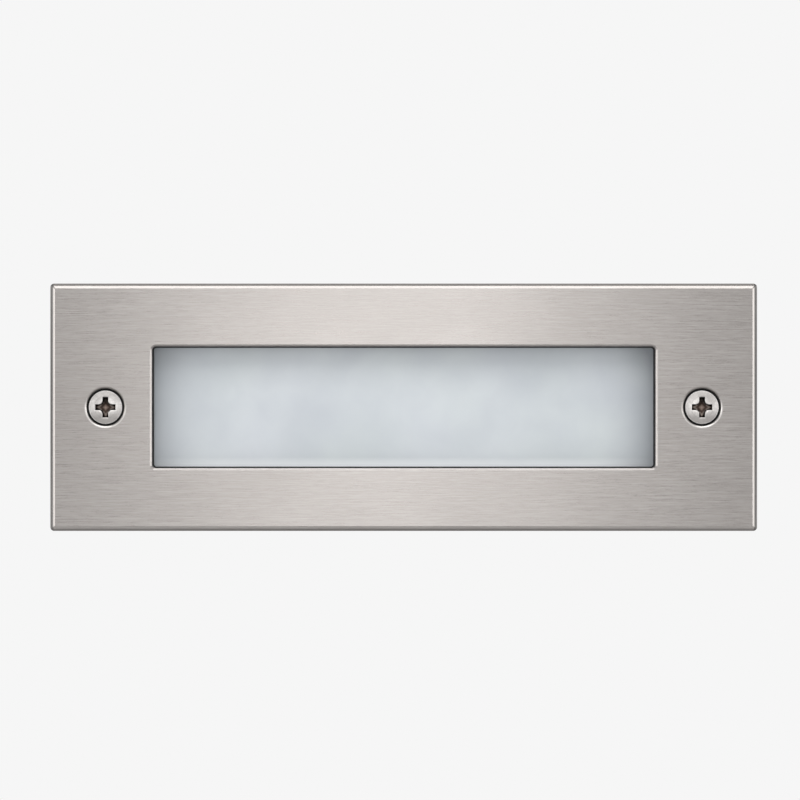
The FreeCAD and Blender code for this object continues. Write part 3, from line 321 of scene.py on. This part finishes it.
def recess_film_and_shade(f):
    """The brown coating in the cross recess with its painted shade and painted facet highlights: 1 where it
    lies, and its colour, painted darkest on the walls and the upper arm.
    """
    arm = 3 * MM
    facets = f.math("ADD", f.math("ABSOLUTE", screw_across(f)), f.math("ABSOLUTE", f.axis("Z")))
    # The floor's tones are the brown coating with painted shade and painted highlights on its facets.
    floor = f.node("ValToRGB")
    f.feed(floor.inputs[0], f.math("DIVIDE", facets, arm))
    stops = ((0.0, (146, 129, 120)), (0.22, (112, 98, 90)), (0.38, (66, 55, 50)), (0.52, (84, 71, 65)),
             (0.66, (134, 124, 117)), (0.78, (112, 102, 96)), (0.90, (60, 52, 47)), (1.0, (18, 15, 13)))
    for place, tone in stops[1:-1]:
        floor.color_ramp.elements.new(place)
    for element, (place, tone) in zip(floor.color_ramp.elements, stops):
        element.position = place
        element.color = srgb(*tone)
    facing = f.node("SeparateXYZ")
    f.feed(facing.inputs[0], f.node("NewGeometry").outputs["Normal"])
    # Painted shade: the walls and the upper arm are coloured near black.
    wall = f.spread(f.math("ABSOLUTE", facing.outputs["Y"]), 1.0, 0.0, 0.55, 0.9)
    upper_arm_shadow = f.spread(f.axis("Z"), 0.0, 0.85, 0.8 * MM, 1.5 * MM)
    film_and_shade = f.mix(f.math("MAXIMUM", wall, upper_arm_shadow), floor.outputs[0], srgb(16, 13, 11))
    inside = f.spread(screw_radius(f), 1.0, 0.0, arm + 0.15 * MM, arm + 0.25 * MM)
    sunk = f.spread(f.axis("Y"), 0.0, 1.0, HEAD_FACE, HEAD_FACE + 0.20 * MM)
    in_head = f.spread(f.axis("Y"), 1.0, 0.0, HEAD_BACK - 0.1 * MM, HEAD_BACK)
    sunk_or_wall = f.math("MULTIPLY", inside, f.math("MAXIMUM", sunk, wall))
    return f.math("MULTIPLY", sunk_or_wall, in_head), film_and_shade


def frosted_glass():
    """Blasted glass over a pale chamber: cool grey and cloudy, with painted shade towards its edges and top
    and a painted highlight along its foot.
    """
    f = Finish("frosted_glass", Roughness=0.5, IOR=1.5)
    clouds = f.noise(30 * MM, detail=2.0, rough=0.45, twist=0.6)
    wisps = f.noise(9 * MM, detail=3.0, rough=0.5, twist=0.4)
    green = f.noise(40 * MM, detail=1.0)
    glass = f.mix(f.spread(clouds, 0.0, 1.0), srgb(199, 204, 210), srgb(213, 218, 222))
    glass = f.mix(f.spread(green, 0.0, 0.5), glass, srgb(197, 206, 204))
    glass = f.mix(f.spread(wisps, 0.0, 0.22), glass, srgb(184, 189, 199))
    # Painted light: brightest a little left of the middle, with painted shade growing towards the sides and
    # the top.
    brightest = -1.2 * MM
    sideways = f.math("ABSOLUTE", f.math("SUBTRACT", f.axis("X"), brightest))
    side = f.math("POWER", f.spread(sideways, 0.0, 1.0, 43 * MM, 71.3 * MM), 3.5)
    side = f.math("ADD", side, f.spread(sideways, 0.0, 0.08, 8 * MM, 46 * MM))
    top = f.math("POWER", f.spread(f.axis("Z"), 0.0, 1.0, 2 * MM, 18 * MM), 2.0)
    shade = f.math("MINIMUM", f.math("ADD", side, f.math("MULTIPLY", top, 0.6)), 1.4)
    # Painted highlight along the foot of the glass.
    low = f.spread(f.axis("Z"), 1.0, 0.0, -17 * MM, -14.2 * MM)
    low = f.math("MULTIPLY", low, f.spread(side, 1.0, 0.5, 0.0, 1.0))
    glass = f.mix(low, glass, srgb(246, 250, 253))
    f.colour(f.mix(f.math("MULTIPLY", shade, 0.55), glass, srgb(104, 109, 115)))
    f.roughness(f.spread(wisps, 0.42, 0.52))
    f.bump(f.noise(0.35 * MM, detail=3.0), 0.01 * MM, 0.35)
    return f.material


def black_rubber():
    """Matt seal rubber with a little dust."""
    f = Finish("black_rubber", Specular_IOR_Level=0.35)
    fine = f.noise(0.5 * MM, detail=4.0, rough=0.6)
    dust = f.noise(6 * MM, detail=3.0)
    body = f.mix(f.spread(fine, 0.0, 1.0), srgb(20, 20, 21), srgb(33, 33, 35))
    f.colour(f.mix(f.spread(dust, 0.0, 0.25), body, srgb(92, 92, 92)))
    f.roughness(f.spread(dust, 0.55, 0.72))
    f.bump(fine, 0.03 * MM, 0.5)
    return f.material


def foam_rubber():
    """Closed-cell foam: small open cells on its cut sides."""
    f = Finish("foam_rubber", Specular_IOR_Level=0.2)
    cells = f.cells(0.45 * MM)
    large = f.noise(5 * MM, detail=2.0)
    foam = f.mix(f.spread(cells, 0.0, 1.0, 0.1, 0.7), srgb(30, 30, 31), srgb(62, 62, 63))
    f.colour(f.mix(f.spread(large, 0.0, 0.3), foam, srgb(76, 76, 75)))
    f.roughness(f.spread(cells, 0.95, 0.8, 0.1, 0.7))
    f.bump(cells, 0.12 * MM, 0.6)
    return f.material


def cast_alloy():
    """Die-cast aluminium: matt, with a fine skin, flow marks, and pale edges that are partly wear and
    partly a painted highlight.
    """
    f = Finish("cast_alloy", Metallic=0.85)
    skin = f.noise(0.8 * MM, detail=5.0, rough=0.65)
    flow = f.noise(16 * MM, stretch=(2.2, 1, 1), detail=4.0, twist=0.8)
    alloy = f.mix(f.spread(skin, 0.0, 1.0), srgb(150, 152, 154), srgb(178, 180, 181))
    alloy = f.mix(f.spread(flow, 0.0, 0.25), alloy, srgb(132, 135, 138))
    # Pale edges: partly wear, partly a painted highlight.
    pale_edges = f.math("MULTIPLY", f.edges(0.6 * MM), f.spread(f.noise(3 * MM), 0.15, 0.8))
    f.colour(f.mix(pale_edges, alloy, srgb(212, 213, 213)))
    f.roughness(f.spread(flow, 0.42, 0.56))
    f.round_edges(0.25 * MM)
    f.bump(skin, 0.05 * MM, 0.55)
    return f.material


def rolled_metal(name, dark, light, grain, along=(24, 1, 24), rough=(0.28, 0.38)):
    """Sheet with the faint straight grain that rolling leaves, and a painted highlight on its edges."""
    f = Finish(name, Metallic=1.0)
    lines = f.noise(grain, stretch=along, detail=3.0, rough=0.65)
    stains = f.noise(9 * MM, detail=4.0)
    metal = f.mix(f.spread(lines, 0.0, 1.0), dark, light)
    # Painted highlight on every edge.
    pale_edges = f.math("MULTIPLY", f.edges(0.3 * MM), 0.5)
    f.colour(f.mix(pale_edges, metal, srgb(228, 228, 226)))
    f.roughness(f.spread(stains, *rough))
    f.round_edges(0.1 * MM)
    f.bump(lines, 0.01 * MM, 0.5)
    return f.material


def sheet_steel():
    return rolled_metal("sheet_steel", srgb(168, 168, 166), srgb(190, 189, 187), 0.3 * MM)


def tray_alloy():
    return rolled_metal("tray_alloy", srgb(188, 190, 192), srgb(212, 213, 214), 0.4 * MM,
                        along=(30, 30, 1))


def plated_steel():
    """Zinc plate: bluish, with paler spangles and a painted highlight on its edges."""
    f = Finish("plated_steel", Metallic=1.0)
    spangle = f.cells(0.9 * MM)
    fine = f.noise(0.5 * MM, detail=4.0)
    zinc = f.mix(f.spread(spangle, 0.0, 1.0, 0.1, 0.8), srgb(178, 184, 196), srgb(206, 209, 212))
    # Painted highlight on the edges.
    f.colour(f.mix(f.math("MULTIPLY", f.edges(0.2 * MM), 0.5), zinc, srgb(232, 232, 230)))
    f.roughness(f.spread(fine, 0.22, 0.34))
    f.round_edges(0.08 * MM)
    f.bump(fine, 0.01 * MM, 0.5)
    return f.material


def brass():
    """Machined brass with a little tarnish."""
    f = Finish("brass", Metallic=1.0)
    tool = f.noise(0.2 * MM, stretch=(1, 12, 1), detail=2.0)
    tarnish = f.noise(3 * MM, detail=4.0)
    metal = f.mix(f.spread(tool, 0.0, 1.0), srgb(206, 172, 104), srgb(224, 194, 128))
    f.colour(f.mix(f.spread(tarnish, 0.0, 0.45), metal, srgb(150, 112, 62)))
    f.roughness(f.spread(tarnish, 0.2, 0.38))
    f.round_edges(0.08 * MM)
    f.bump(tool, 0.01 * MM, 0.5)
    return f.material


def tinned_copper():
    return rolled_metal("tinned_copper", srgb(190, 186, 178), srgb(214, 210, 203), 0.3 * MM,
                        rough=(0.3, 0.42))


def moulded(name, dark, light, rough=(0.38, 0.5), soft=0.0):
    """Moulded plastic: an even skin with fine spark texture, slight flow marks and a painted highlight on
    its edges.
    """
    f = Finish(name, Subsurface_Weight=soft)
    f.shader.inputs["Subsurface Radius"].default_value = (1.0, 0.9, 0.8)
    f.shader.inputs["Subsurface Scale"].default_value = 0.6 * MM
    skin = f.noise(0.4 * MM, detail=3.0)
    flow = f.noise(12 * MM, detail=3.0, twist=0.5)
    body = f.mix(f.spread(flow, 0.0, 1.0), dark, light)
    # Painted highlight on the edges.
    f.colour(f.mix(f.math("MULTIPLY", f.edges(0.3 * MM), 0.35), body, f.mix(0.25, light, (1, 1, 1, 1))))
    f.roughness(f.spread(skin, *rough))
    f.round_edges(0.15 * MM)
    f.bump(skin, 0.02 * MM, 0.4)
    return f.material


def white_plastic():
    return moulded("white_plastic", srgb(226, 226, 222), srgb(236, 236, 233), rough=(0.28, 0.36), soft=0.08)


def board_white():
    """Circuit board: white lacquer over faint copper tracks, and the bare weave on its cut edges."""
    f = Finish("board_white")
    lacquer = f.noise(7 * MM, detail=3.0)
    white = f.mix(f.spread(lacquer, 0.0, 1.0), srgb(224, 227, 226), srgb(236, 238, 237))
    up = f.math("ABSOLUTE", f.axis("Z"))
    along = f.math("ABSOLUTE", f.axis("X"))
    outer = f.math("MULTIPLY", f.spread(up, 0.0, 1.0, 3.0 * MM, 3.1 * MM),
                   f.spread(up, 1.0, 0.0, 9.4 * MM, 9.5 * MM))
    steps = f.math("FRACT", f.math("DIVIDE", f.math("ADD", f.axis("X"), TRACK_PITCH / 2), TRACK_PITCH))
    gap = f.math("MULTIPLY", f.spread(steps, 0.0, 1.0, 0.03, 0.035), f.spread(steps, 1.0, 0.0, 0.965, 0.97))
    short = f.spread(along, 1.0, 0.0, 60 * MM, 60.1 * MM)
    copper = f.math("MULTIPLY", f.math("MULTIPLY", outer, gap), short)
    white = f.mix(f.math("MULTIPLY", copper, 0.5), white, srgb(212, 218, 208))
    cut = f.math("MAXIMUM", f.spread(up, 0.0, 1.0, BOARD_HIGH.z - 0.03 * MM, BOARD_HIGH.z - 0.01 * MM),
                 f.spread(along, 0.0, 1.0, BOARD_HIGH.x - 0.03 * MM, BOARD_HIGH.x - 0.01 * MM))
    f.colour(f.mix(cut, white, srgb(176, 178, 150)))
    f.roughness(f.spread(lacquer, 0.24, 0.34))
    f.bump(copper, 0.035 * MM, 0.8)
    return f.material


def led_face():
    """The phosphor in the light sources: yellow silicone with a fine grain, glossy like a lens."""
    f = Finish("led_face", Subsurface_Weight=0.15)
    f.shader.inputs["Subsurface Scale"].default_value = 0.3 * MM
    grain = f.noise(0.12 * MM, detail=3.0)
    f.colour(f.mix(f.spread(grain, 0.0, 1.0), srgb(232, 190, 40), srgb(246, 214, 84)))
    f.roughness(f.spread(grain, 0.16, 0.26))
    f.bump(grain, 0.005 * MM, 0.5)
    return f.material


def connector_white():
    return moulded("connector_white", srgb(222, 219, 208), srgb(232, 230, 221), soft=0.1)


def driver_case():
    return moulded("driver_case", srgb(214, 215, 214), srgb(226, 227, 226), rough=(0.42, 0.55))


def terminal_nylon():
    return moulded("terminal_nylon", srgb(208, 210, 206), srgb(222, 223, 220), soft=0.12)


def nylon_natural():
    return moulded("nylon_natural", srgb(222, 217, 202), srgb(234, 230, 218), soft=0.2)


def gland_nylon():
    return moulded("gland_nylon", srgb(66, 68, 71), srgb(80, 82, 85), rough=(0.4, 0.52))


def lead(name, upper, lower, border):
    """Extruded plastic insulation in two colours, one above the height of border and one below it."""
    f = Finish(name)
    skin = f.noise(0.6 * MM, detail=3.0)
    dirt = f.noise(4 * MM, detail=3.0)
    shade = f.spread(skin, 0.0, 1.0)
    above = f.spread(f.axis("Z"), 0.0, 1.0, border - 0.05 * MM, border + 0.05 * MM)
    body = f.mix(above, f.mix(shade, *lower), f.mix(shade, *upper))
    f.colour(f.mix(f.spread(dirt, 0.0, 0.2), body, srgb(60, 55, 50)))
    f.roughness(f.spread(skin, 0.32, 0.42))
    f.bump(skin, 0.015 * MM, 0.4)
    return f.material


def lead_brown():
    """The supply pair: brown above, blue below."""
    brown = (srgb(96, 56, 36), srgb(112, 68, 44))
    blue = (srgb(28, 74, 148), srgb(40, 92, 170))
    return lead("lead_brown", brown, blue, -1.5 * MM)


def lead_red():
    """The light source's pair: red above, black below."""
    red = (srgb(168, 34, 30), srgb(186, 46, 40))
    black = (srgb(20, 20, 21), srgb(34, 34, 36))
    return lead("lead_red", red, black, 0.0)


def lead_green():
    """Green insulation with a yellow stripe that winds along it."""
    f = Finish("lead_green")
    skin = f.noise(0.6 * MM, detail=3.0)
    turn = f.math("ADD", f.axis("X"), f.math("ADD", f.axis("Y"), f.axis("Z")))
    stripe = f.math("SINE", f.math("MULTIPLY", turn, 2 * math.pi / (5 * MM)))
    band = f.spread(stripe, 0.0, 1.0, 0.05, 0.2)
    green = f.mix(f.spread(skin, 0.0, 1.0), srgb(30, 112, 58), srgb(38, 128, 68))
    f.colour(f.mix(band, green, srgb(226, 206, 54)))
    f.roughness(f.spread(skin, 0.32, 0.42))
    f.bump(skin, 0.015 * MM, 0.4)
    return f.material


FINISHES = {
    maker.__name__: maker
    for maker in (
        plate_steel, screw_steel, frosted_glass, black_rubber, foam_rubber, cast_alloy, sheet_steel,
        tray_alloy, plated_steel, brass, tinned_copper, white_plastic, board_white, led_face,
        connector_white, driver_case, terminal_nylon, nylon_natural, gland_nylon, lead_brown,
        lead_red, lead_green,
    )
}


def dress(nodes):
    """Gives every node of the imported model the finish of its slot. Returns the finishes by name.

    A packed material hands its name over to its finish, and is itself known by a longer one.
    """
    finishes = {}
    for node in nodes.values():
        for slot in node.material_slots:
            name = slot.material.name.split(".")[0]
            if name not in finishes:
                slot.material.name = name + "_plain"
                finishes[name] = FINISHES[name]()
                finishes[slot.material.name] = finishes[name]
            slot.material = finishes[name]
    return finishes


finishes = dress(frame["nodes"])


# ---------------------------------------------------------------- pieces on the circuit board
def resistor_glaze():
    """The dark glaze on a chip resistor."""
    f = Finish("resistor_glaze")
    fine = f.noise(0.2 * MM, detail=3.0)
    f.colour(f.mix(f.spread(fine, 0.0, 1.0), srgb(24, 24, 27), srgb(44, 44, 48)))
    f.roughness(f.spread(fine, 0.22, 0.34))
    f.bump(fine, 0.01 * MM, 0.4)
    return f.material


def piece_of(name, mesh, material, body="box"):
    """Finishes a bmesh as a piece that rides with a body."""
    data = bpy.data.meshes.new(name)
    bmesh.ops.recalc_face_normals(mesh, faces=mesh.faces)
    for face in mesh.faces:
        face.smooth = True
    mesh.to_mesh(data)
    mesh.free()
    data.set_sharp_from_angle(angle=SHARP_ANGLE)
    data.materials.append(material)
    piece = bpy.data.objects.new(name, data)
    bpy.context.scene.collection.objects.link(piece)
    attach(piece, body)
    return piece


def block(mesh, low, high, ease):
    """A box between two corners, with eased edges."""
    low, high = Vector(low), Vector(high)
    corners = bmesh.ops.create_cube(mesh, size=1.0)["verts"]
    for corner in corners:
        corner.co = Vector((low[i] + (corner.co[i] + 0.5) * (high[i] - low[i]) for i in range(3)))
    edges = list(dict.fromkeys(edge for corner in corners for edge in corner.link_edges))
    bmesh.ops.bevel(mesh, geom=edges, offset=ease, segments=2, profile=0.5, affect="EDGES")


def rounded_ring(width, height, radius):
    """The outline of a rectangle with round corners, as (x, z) points."""
    steps = 5
    points = []
    for turn, (right, up) in enumerate(((1, 1), (-1, 1), (-1, -1), (1, -1))):
        for step in range(steps + 1):
            angle = math.pi / 2 * (turn + step / steps)
            points.append((right * (width / 2 - radius) + radius * math.cos(angle),
                           up * (height / 2 - radius) + radius * math.sin(angle)))
    return points


def skin_over(mesh, rings):
    """A closed skin over rings of points that have equal counts."""
    rows = [[mesh.verts.new(point) for point in ring] for ring in rings]
    for first, second in zip(rows, rows[1:]):
        for i in range(len(first)):
            j = (i + 1) % len(first)
            mesh.faces.new((first[i], first[j], second[j], second[i]))
    mesh.faces.new(rows[0])
    mesh.faces.new(rows[-1])


def source_places():
    """The middle of each light source along x, and their width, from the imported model's solids."""
    edges = sorted({round(v.co.x, 5) for v in frame["nodes"]["leds"].data.vertices})
    return [(a + b) / 2 for a, b in zip(edges[::2], edges[1::2])], edges[1] - edges[0]


def add_source_frame(mesh, x, width, height, low, high):
    """The white frame of one source, eased outside and dished inside. Returns the dish floor's outline."""
    outer = rounded_ring(width, height, 0.15 * MM)
    face = rounded_ring(width - 0.12 * MM, height - 0.12 * MM, 0.12 * MM)
    lip = rounded_ring(width - 0.60 * MM, height - 0.60 * MM, 0.45 * MM)
    seat = rounded_ring(width - 0.95 * MM, height - 0.95 * MM, 0.32 * MM)
    skin = ((outer, high), (outer, low + 0.06 * MM), (face, low), (lip, low), (seat, low + SOURCE_DISH))
    skin_over(mesh, [[(x + px, y, pz) for px, pz in ring] for ring, y in skin])
    return seat


def add_source_window(mesh, x, seat, floor):
    """The low phosphor dome that fills a source's dish."""
    dome = [[(x + px, floor + 0.005 * MM, pz) for px, pz in seat]]
    for share, rise in ((1.0, 0.01), (0.8, 0.06), (0.5, 0.095), (0.2, 0.11)):
        dome.append([(x + px * share, floor - rise * MM, pz * share) for px, pz in seat])
    skin_over(mesh, dome)


def add_source_solder(mesh, x, width, height):
    """Two solder fillets at each end of a source, which slope down to the board."""
    wide = width / 4 - 0.12 * MM
    for side in (-1, 1):
        for half in (-1, 1):
            left, right = x + half * width / 4 - wide, x + half * width / 4 + wide
            rings = []
            for reach, rise in ((-0.05, 0.34), (0.10, 0.20), (0.26, 0.10), (0.48, 0.03)):
                y, z = BOARD_FACE - rise * MM, side * (height / 2 + reach * MM)
                rings.append([(left, y, z), (right, y, z), (right, BOARD_FACE, z), (left, BOARD_FACE, z)])
            skin_over(mesh, rings)


def make_light_sources():
    """Each source is a white frame round a sunk phosphor window, soldered down at its two ends."""
    low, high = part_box("leds")
    places, width = source_places()
    height = high.z - low.z
    frames, windows, solder = bmesh.new(), bmesh.new(), bmesh.new()
    for x in places:
        seat = add_source_frame(frames, x, width, height, low.y, high.y)
        add_source_window(windows, x, seat, low.y + SOURCE_DISH)
        add_source_solder(solder, x, width, height)
    frames_piece = piece_of("led_frames", frames, finishes["connector_white"])
    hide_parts("leds")
    piece_of("led_windows", windows, finishes["led_face"])
    piece_of("led_solder", solder, finishes["tinned_copper"])


def make_board_parts():
    """Chip resistors beside the sources, with their tinned ends and the solder on their pads."""
    row_z = 5.6 * MM
    body_end, end_inner, end_outer, toe = 1.15 * MM, 1.10 * MM, 1.62 * MM, 2.10 * MM
    body_wide, end_wide, toe_wide = 0.78 * MM, 0.81 * MM, 0.70 * MM
    body_rise, end_rise, toe_rise, under = 0.60 * MM, 0.64 * MM, 0.16 * MM, 0.03 * MM
    bodies, ends = bmesh.new(), bmesh.new()
    for x in (-TRACK_PITCH, 0.0, TRACK_PITCH):
        for z in (-row_z, row_z):
            block(bodies, (x - body_end, BOARD_FACE - body_rise, z - body_wide),
                  (x + body_end, BOARD_FACE - under, z + body_wide), 0.06 * MM)
            for side in (-1, 1):
                near, far = sorted((x + side * end_inner, x + side * end_outer))
                block(ends, (near, BOARD_FACE - end_rise, z - end_wide),
                      (far, BOARD_FACE, z + end_wide), 0.08 * MM)
                near, far = sorted((x + side * end_outer, x + side * toe))
                block(ends, (near, BOARD_FACE - toe_rise, z - toe_wide),
                      (far, BOARD_FACE, z + toe_wide), 0.07 * MM)
    piece_of("resistor_bodies", bodies, resistor_glaze())
    piece_of("resistor_ends", ends, finishes["tinned_copper"])


# ---------------------------------------------------------------- face screws
def close_holes(mesh):
    """A flat face over every open edge loop."""
    bmesh.ops.holes_fill(mesh, edges=[edge for edge in mesh.edges if edge.is_boundary], sides=0)


def head_and_neck(node, middle):
    """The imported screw's head and neck, welded and closed where the thread begins."""
    mesh = bmesh.new()
    mesh.from_mesh(node.data)
    bmesh.ops.remove_doubles(mesh, verts=mesh.verts, dist=0.001 * MM)
    shank = []
    for vert in mesh.verts:
        wide = math.hypot(vert.co.x - middle, vert.co.z) > NECK_RADIUS + 0.05 * MM
        if vert.co.y > NECK_END + 0.01 * MM or (wide and vert.co.y > NECK_END - 0.01 * MM):
            shank.append(vert)
    bmesh.ops.delete(mesh, geom=shank, context="VERTS")
    close_holes(mesh)
    return mesh


def thread_rows(middle, first, last):
    """Rings along a right-hand thread round the y axis, with a run-in at the neck and a pointed tip.

    A ring climbs by one pitch as it goes round, so its end meets the ring that is one turn further on.
    """
    rings = []
    for turn in range(-2, math.ceil((last - first) / PITCH) + 2):
        for share, radius in THREAD_PROFILE:
            ring = []
            for step in range(THREAD_STEPS):
                around = step / THREAD_STEPS
                angle = 2 * math.pi * around
                y = first + (turn + share + around) * PITCH
                reach = min(radius, NECK_RADIUS + (y - NECK_END), TIP_RADIUS + (last - y))
                reach = max(reach, LEAST_RADIUS)
                ring.append((middle + reach * math.sin(angle), y, reach * math.cos(angle)))
            rings.append(ring)
    return rings


def add_thread(mesh, middle):
    """The threaded end, cut square at both ends."""
    first, last = NECK_END - 0.05 * MM, TIP_END
    rows = [[mesh.verts.new(point) for point in ring] for ring in thread_rows(middle, first, last)]
    a_turn = len(THREAD_PROFILE)
    faces = []
    for index in range(len(rows) - a_turn - 1):
        here = rows[index] + [rows[index + a_turn][0]]
        beyond = rows[index + 1] + [rows[index + 1 + a_turn][0]]
        for step in range(THREAD_STEPS):
            faces.append(mesh.faces.new((here[step], here[step + 1], beyond[step + 1], beyond[step])))
    edges = dict.fromkeys(edge for face in faces for edge in face.edges)
    cut = [*(vert for row in rows for vert in row), *faces, *edges]
    for place, way in ((first, -1), (last, 1)):
        found = bmesh.ops.bisect_plane(
            mesh, geom=cut, plane_co=(0, place, 0), plane_no=(0, way, 0), clear_outer=True)
        cut = [part for part in found["geom"] if part.is_valid]
    loose = [vert for vert in mesh.verts if not vert.link_faces]
    bmesh.ops.delete(mesh, geom=loose, context="VERTS")
    close_holes(mesh)


def make_screws():
    """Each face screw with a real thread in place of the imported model's plain shank."""
    for side in ("left", "right"):
        name = side + "_screw"
        middle = middle_x(name)
        mesh = head_and_neck(frame["nodes"][name], middle)
        add_thread(mesh, middle)
        piece = piece_of(side + "_threaded_screw", mesh, finishes["screw_steel"], name)
        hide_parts(name)


make_light_sources()
make_board_parts()
make_screws()


# ---------------------------------------------------------------- light, floor and camera
def make_world(ambient):
    """Pale all round for the camera, gloss and glass, and a plain grey light for everything else."""
    world = bpy.data.worlds.new("studio")
    world.use_nodes = True
    tree = world.node_tree
    tree.nodes.clear()
    seen = tree.nodes.new("ShaderNodeBackground")
    seen.inputs["Color"].default_value = srgb(*BACKGROUND)
    lighting = tree.nodes.new("ShaderNodeBackground")
    lighting.inputs["Color"].default_value = (1, 1, 1, 1)
    lighting.inputs["Strength"].default_value = ambient
    path = tree.nodes.new("ShaderNodeLightPath")
    share = path.outputs["Is Camera Ray"]
    for kind in ("Is Glossy Ray", "Is Transmission Ray"):
        either = tree.nodes.new("ShaderNodeMath")
        either.operation = "MAXIMUM"
        tree.links.new(share, either.inputs[0])
        tree.links.new(path.outputs[kind], either.inputs[1])
        share = either.outputs[0]
    both = tree.nodes.new("ShaderNodeMixShader")
    tree.links.new(share, both.inputs[0])
    tree.links.new(lighting.outputs[0], both.inputs[1])
    tree.links.new(seen.outputs[0], both.inputs[2])
    output = tree.nodes.new("ShaderNodeOutputWorld")
    tree.links.new(both.outputs[0], output.inputs[0])
    bpy.context.scene.world = world


def make_softbox(name, place, size, power):
    """A rectangular lamp aimed at the middle of the plate."""
    data = bpy.data.lights.new(name, "AREA")
    data.shape = "RECTANGLE"
    data.size, data.size_y = size
    data.energy = power
    lamp = bpy.data.objects.new(name, data)
    bpy.context.scene.collection.objects.link(lamp)
    lamp.location = place
    lamp.rotation_euler = (-Vector(place)).to_track_quat("-Z", "Y").to_euler()
    lamp.visible_camera = False


def floor_paper():
    """Pale paper that fades to the background's own colour further off, and that is clear from below."""
    f = Finish("floor_paper", Roughness=0.9, Specular_IOR_Level=0.1)
    fibres = f.noise(3 * MM, detail=3.0)
    f.colour(f.mix(f.spread(fibres, 0.0, 1.0), srgb(240, 240, 240), srgb(243, 243, 243)))
    glow = f.node("Emission")
    glow.inputs["Color"].default_value = srgb(*BACKGROUND)
    distance = f.node("VectorMath", operation="LENGTH")
    f.feed(distance.inputs[0], f.place)
    far = f.spread(distance.outputs["Value"], 0.35, 1.0, 0.30, 0.80, smooth=True)
    fading = f.node("MixShader")
    f.feed(fading.inputs[0], f.math("MULTIPLY", f.node("LightPath").outputs["Is Camera Ray"], far))
    f.tree.links.new(f.shader.outputs[0], fading.inputs[1])
    f.tree.links.new(glow.outputs[0], fading.inputs[2])
    one_sided = f.node("MixShader")
    f.feed(one_sided.inputs[0], f.node("NewGeometry").outputs["Backfacing"])
    f.tree.links.new(fading.outputs[0], one_sided.inputs[1])
    f.tree.links.new(f.node("BsdfTransparent").outputs[0], one_sided.inputs[2])
    output = next(n for n in f.tree.nodes if n.type == "OUTPUT_MATERIAL")
    f.tree.links.new(one_sided.outputs[0], output.inputs["Surface"])
    return f.material


def make_floor(level, reach, sides=96):
    """A round floor under the object."""
    mesh = bpy.data.meshes.new("floor")
    turns = [2 * math.pi * step / sides for step in range(sides)]
    rim = [(reach * math.cos(turn), reach * math.sin(turn), level) for turn in turns]
    mesh.from_pydata(rim, [], [range(sides)])
    mesh.materials.append(floor_paper())
    floor = bpy.data.objects.new("floor", mesh)
    bpy.context.scene.collection.objects.link(floor)


def make_camera():
    """Straight on to the plate from a metre away, so that the plate spans nine tenths of the picture."""
    data = bpy.data.cameras.new("camera")
    data.sensor_width = 36.0
    data.lens = 159.2
    data.clip_start = 0.05
    data.clip_end = 50.0
    camera = bpy.data.objects.new("camera", data)
    bpy.context.scene.collection.objects.link(camera)
    camera.location = (-1.05 * MM, -1.005, 2.05 * MM)
    camera.rotation_euler = (math.radians(90), 0, 0)
    bpy.context.scene.camera = camera


make_world(ambient=0.42)
make_softbox("front_box", (-0.015, -1.35, 0.10), (0.26, 0.30), 1.16)
make_softbox("top_box", (0.0, -0.42, 1.12), (1.3, 1.0), 12.0)
make_softbox("left_box", (-1.15, -0.36, 0.10), (0.85, 0.6), 4.4)
make_softbox("right_box", (1.15, -0.36, 0.10), (0.85, 0.6), 4.4)
make_floor(level=-0.20, reach=8.0)
make_camera()

bpy.context.scene.view_settings.view_transform = "Standard"
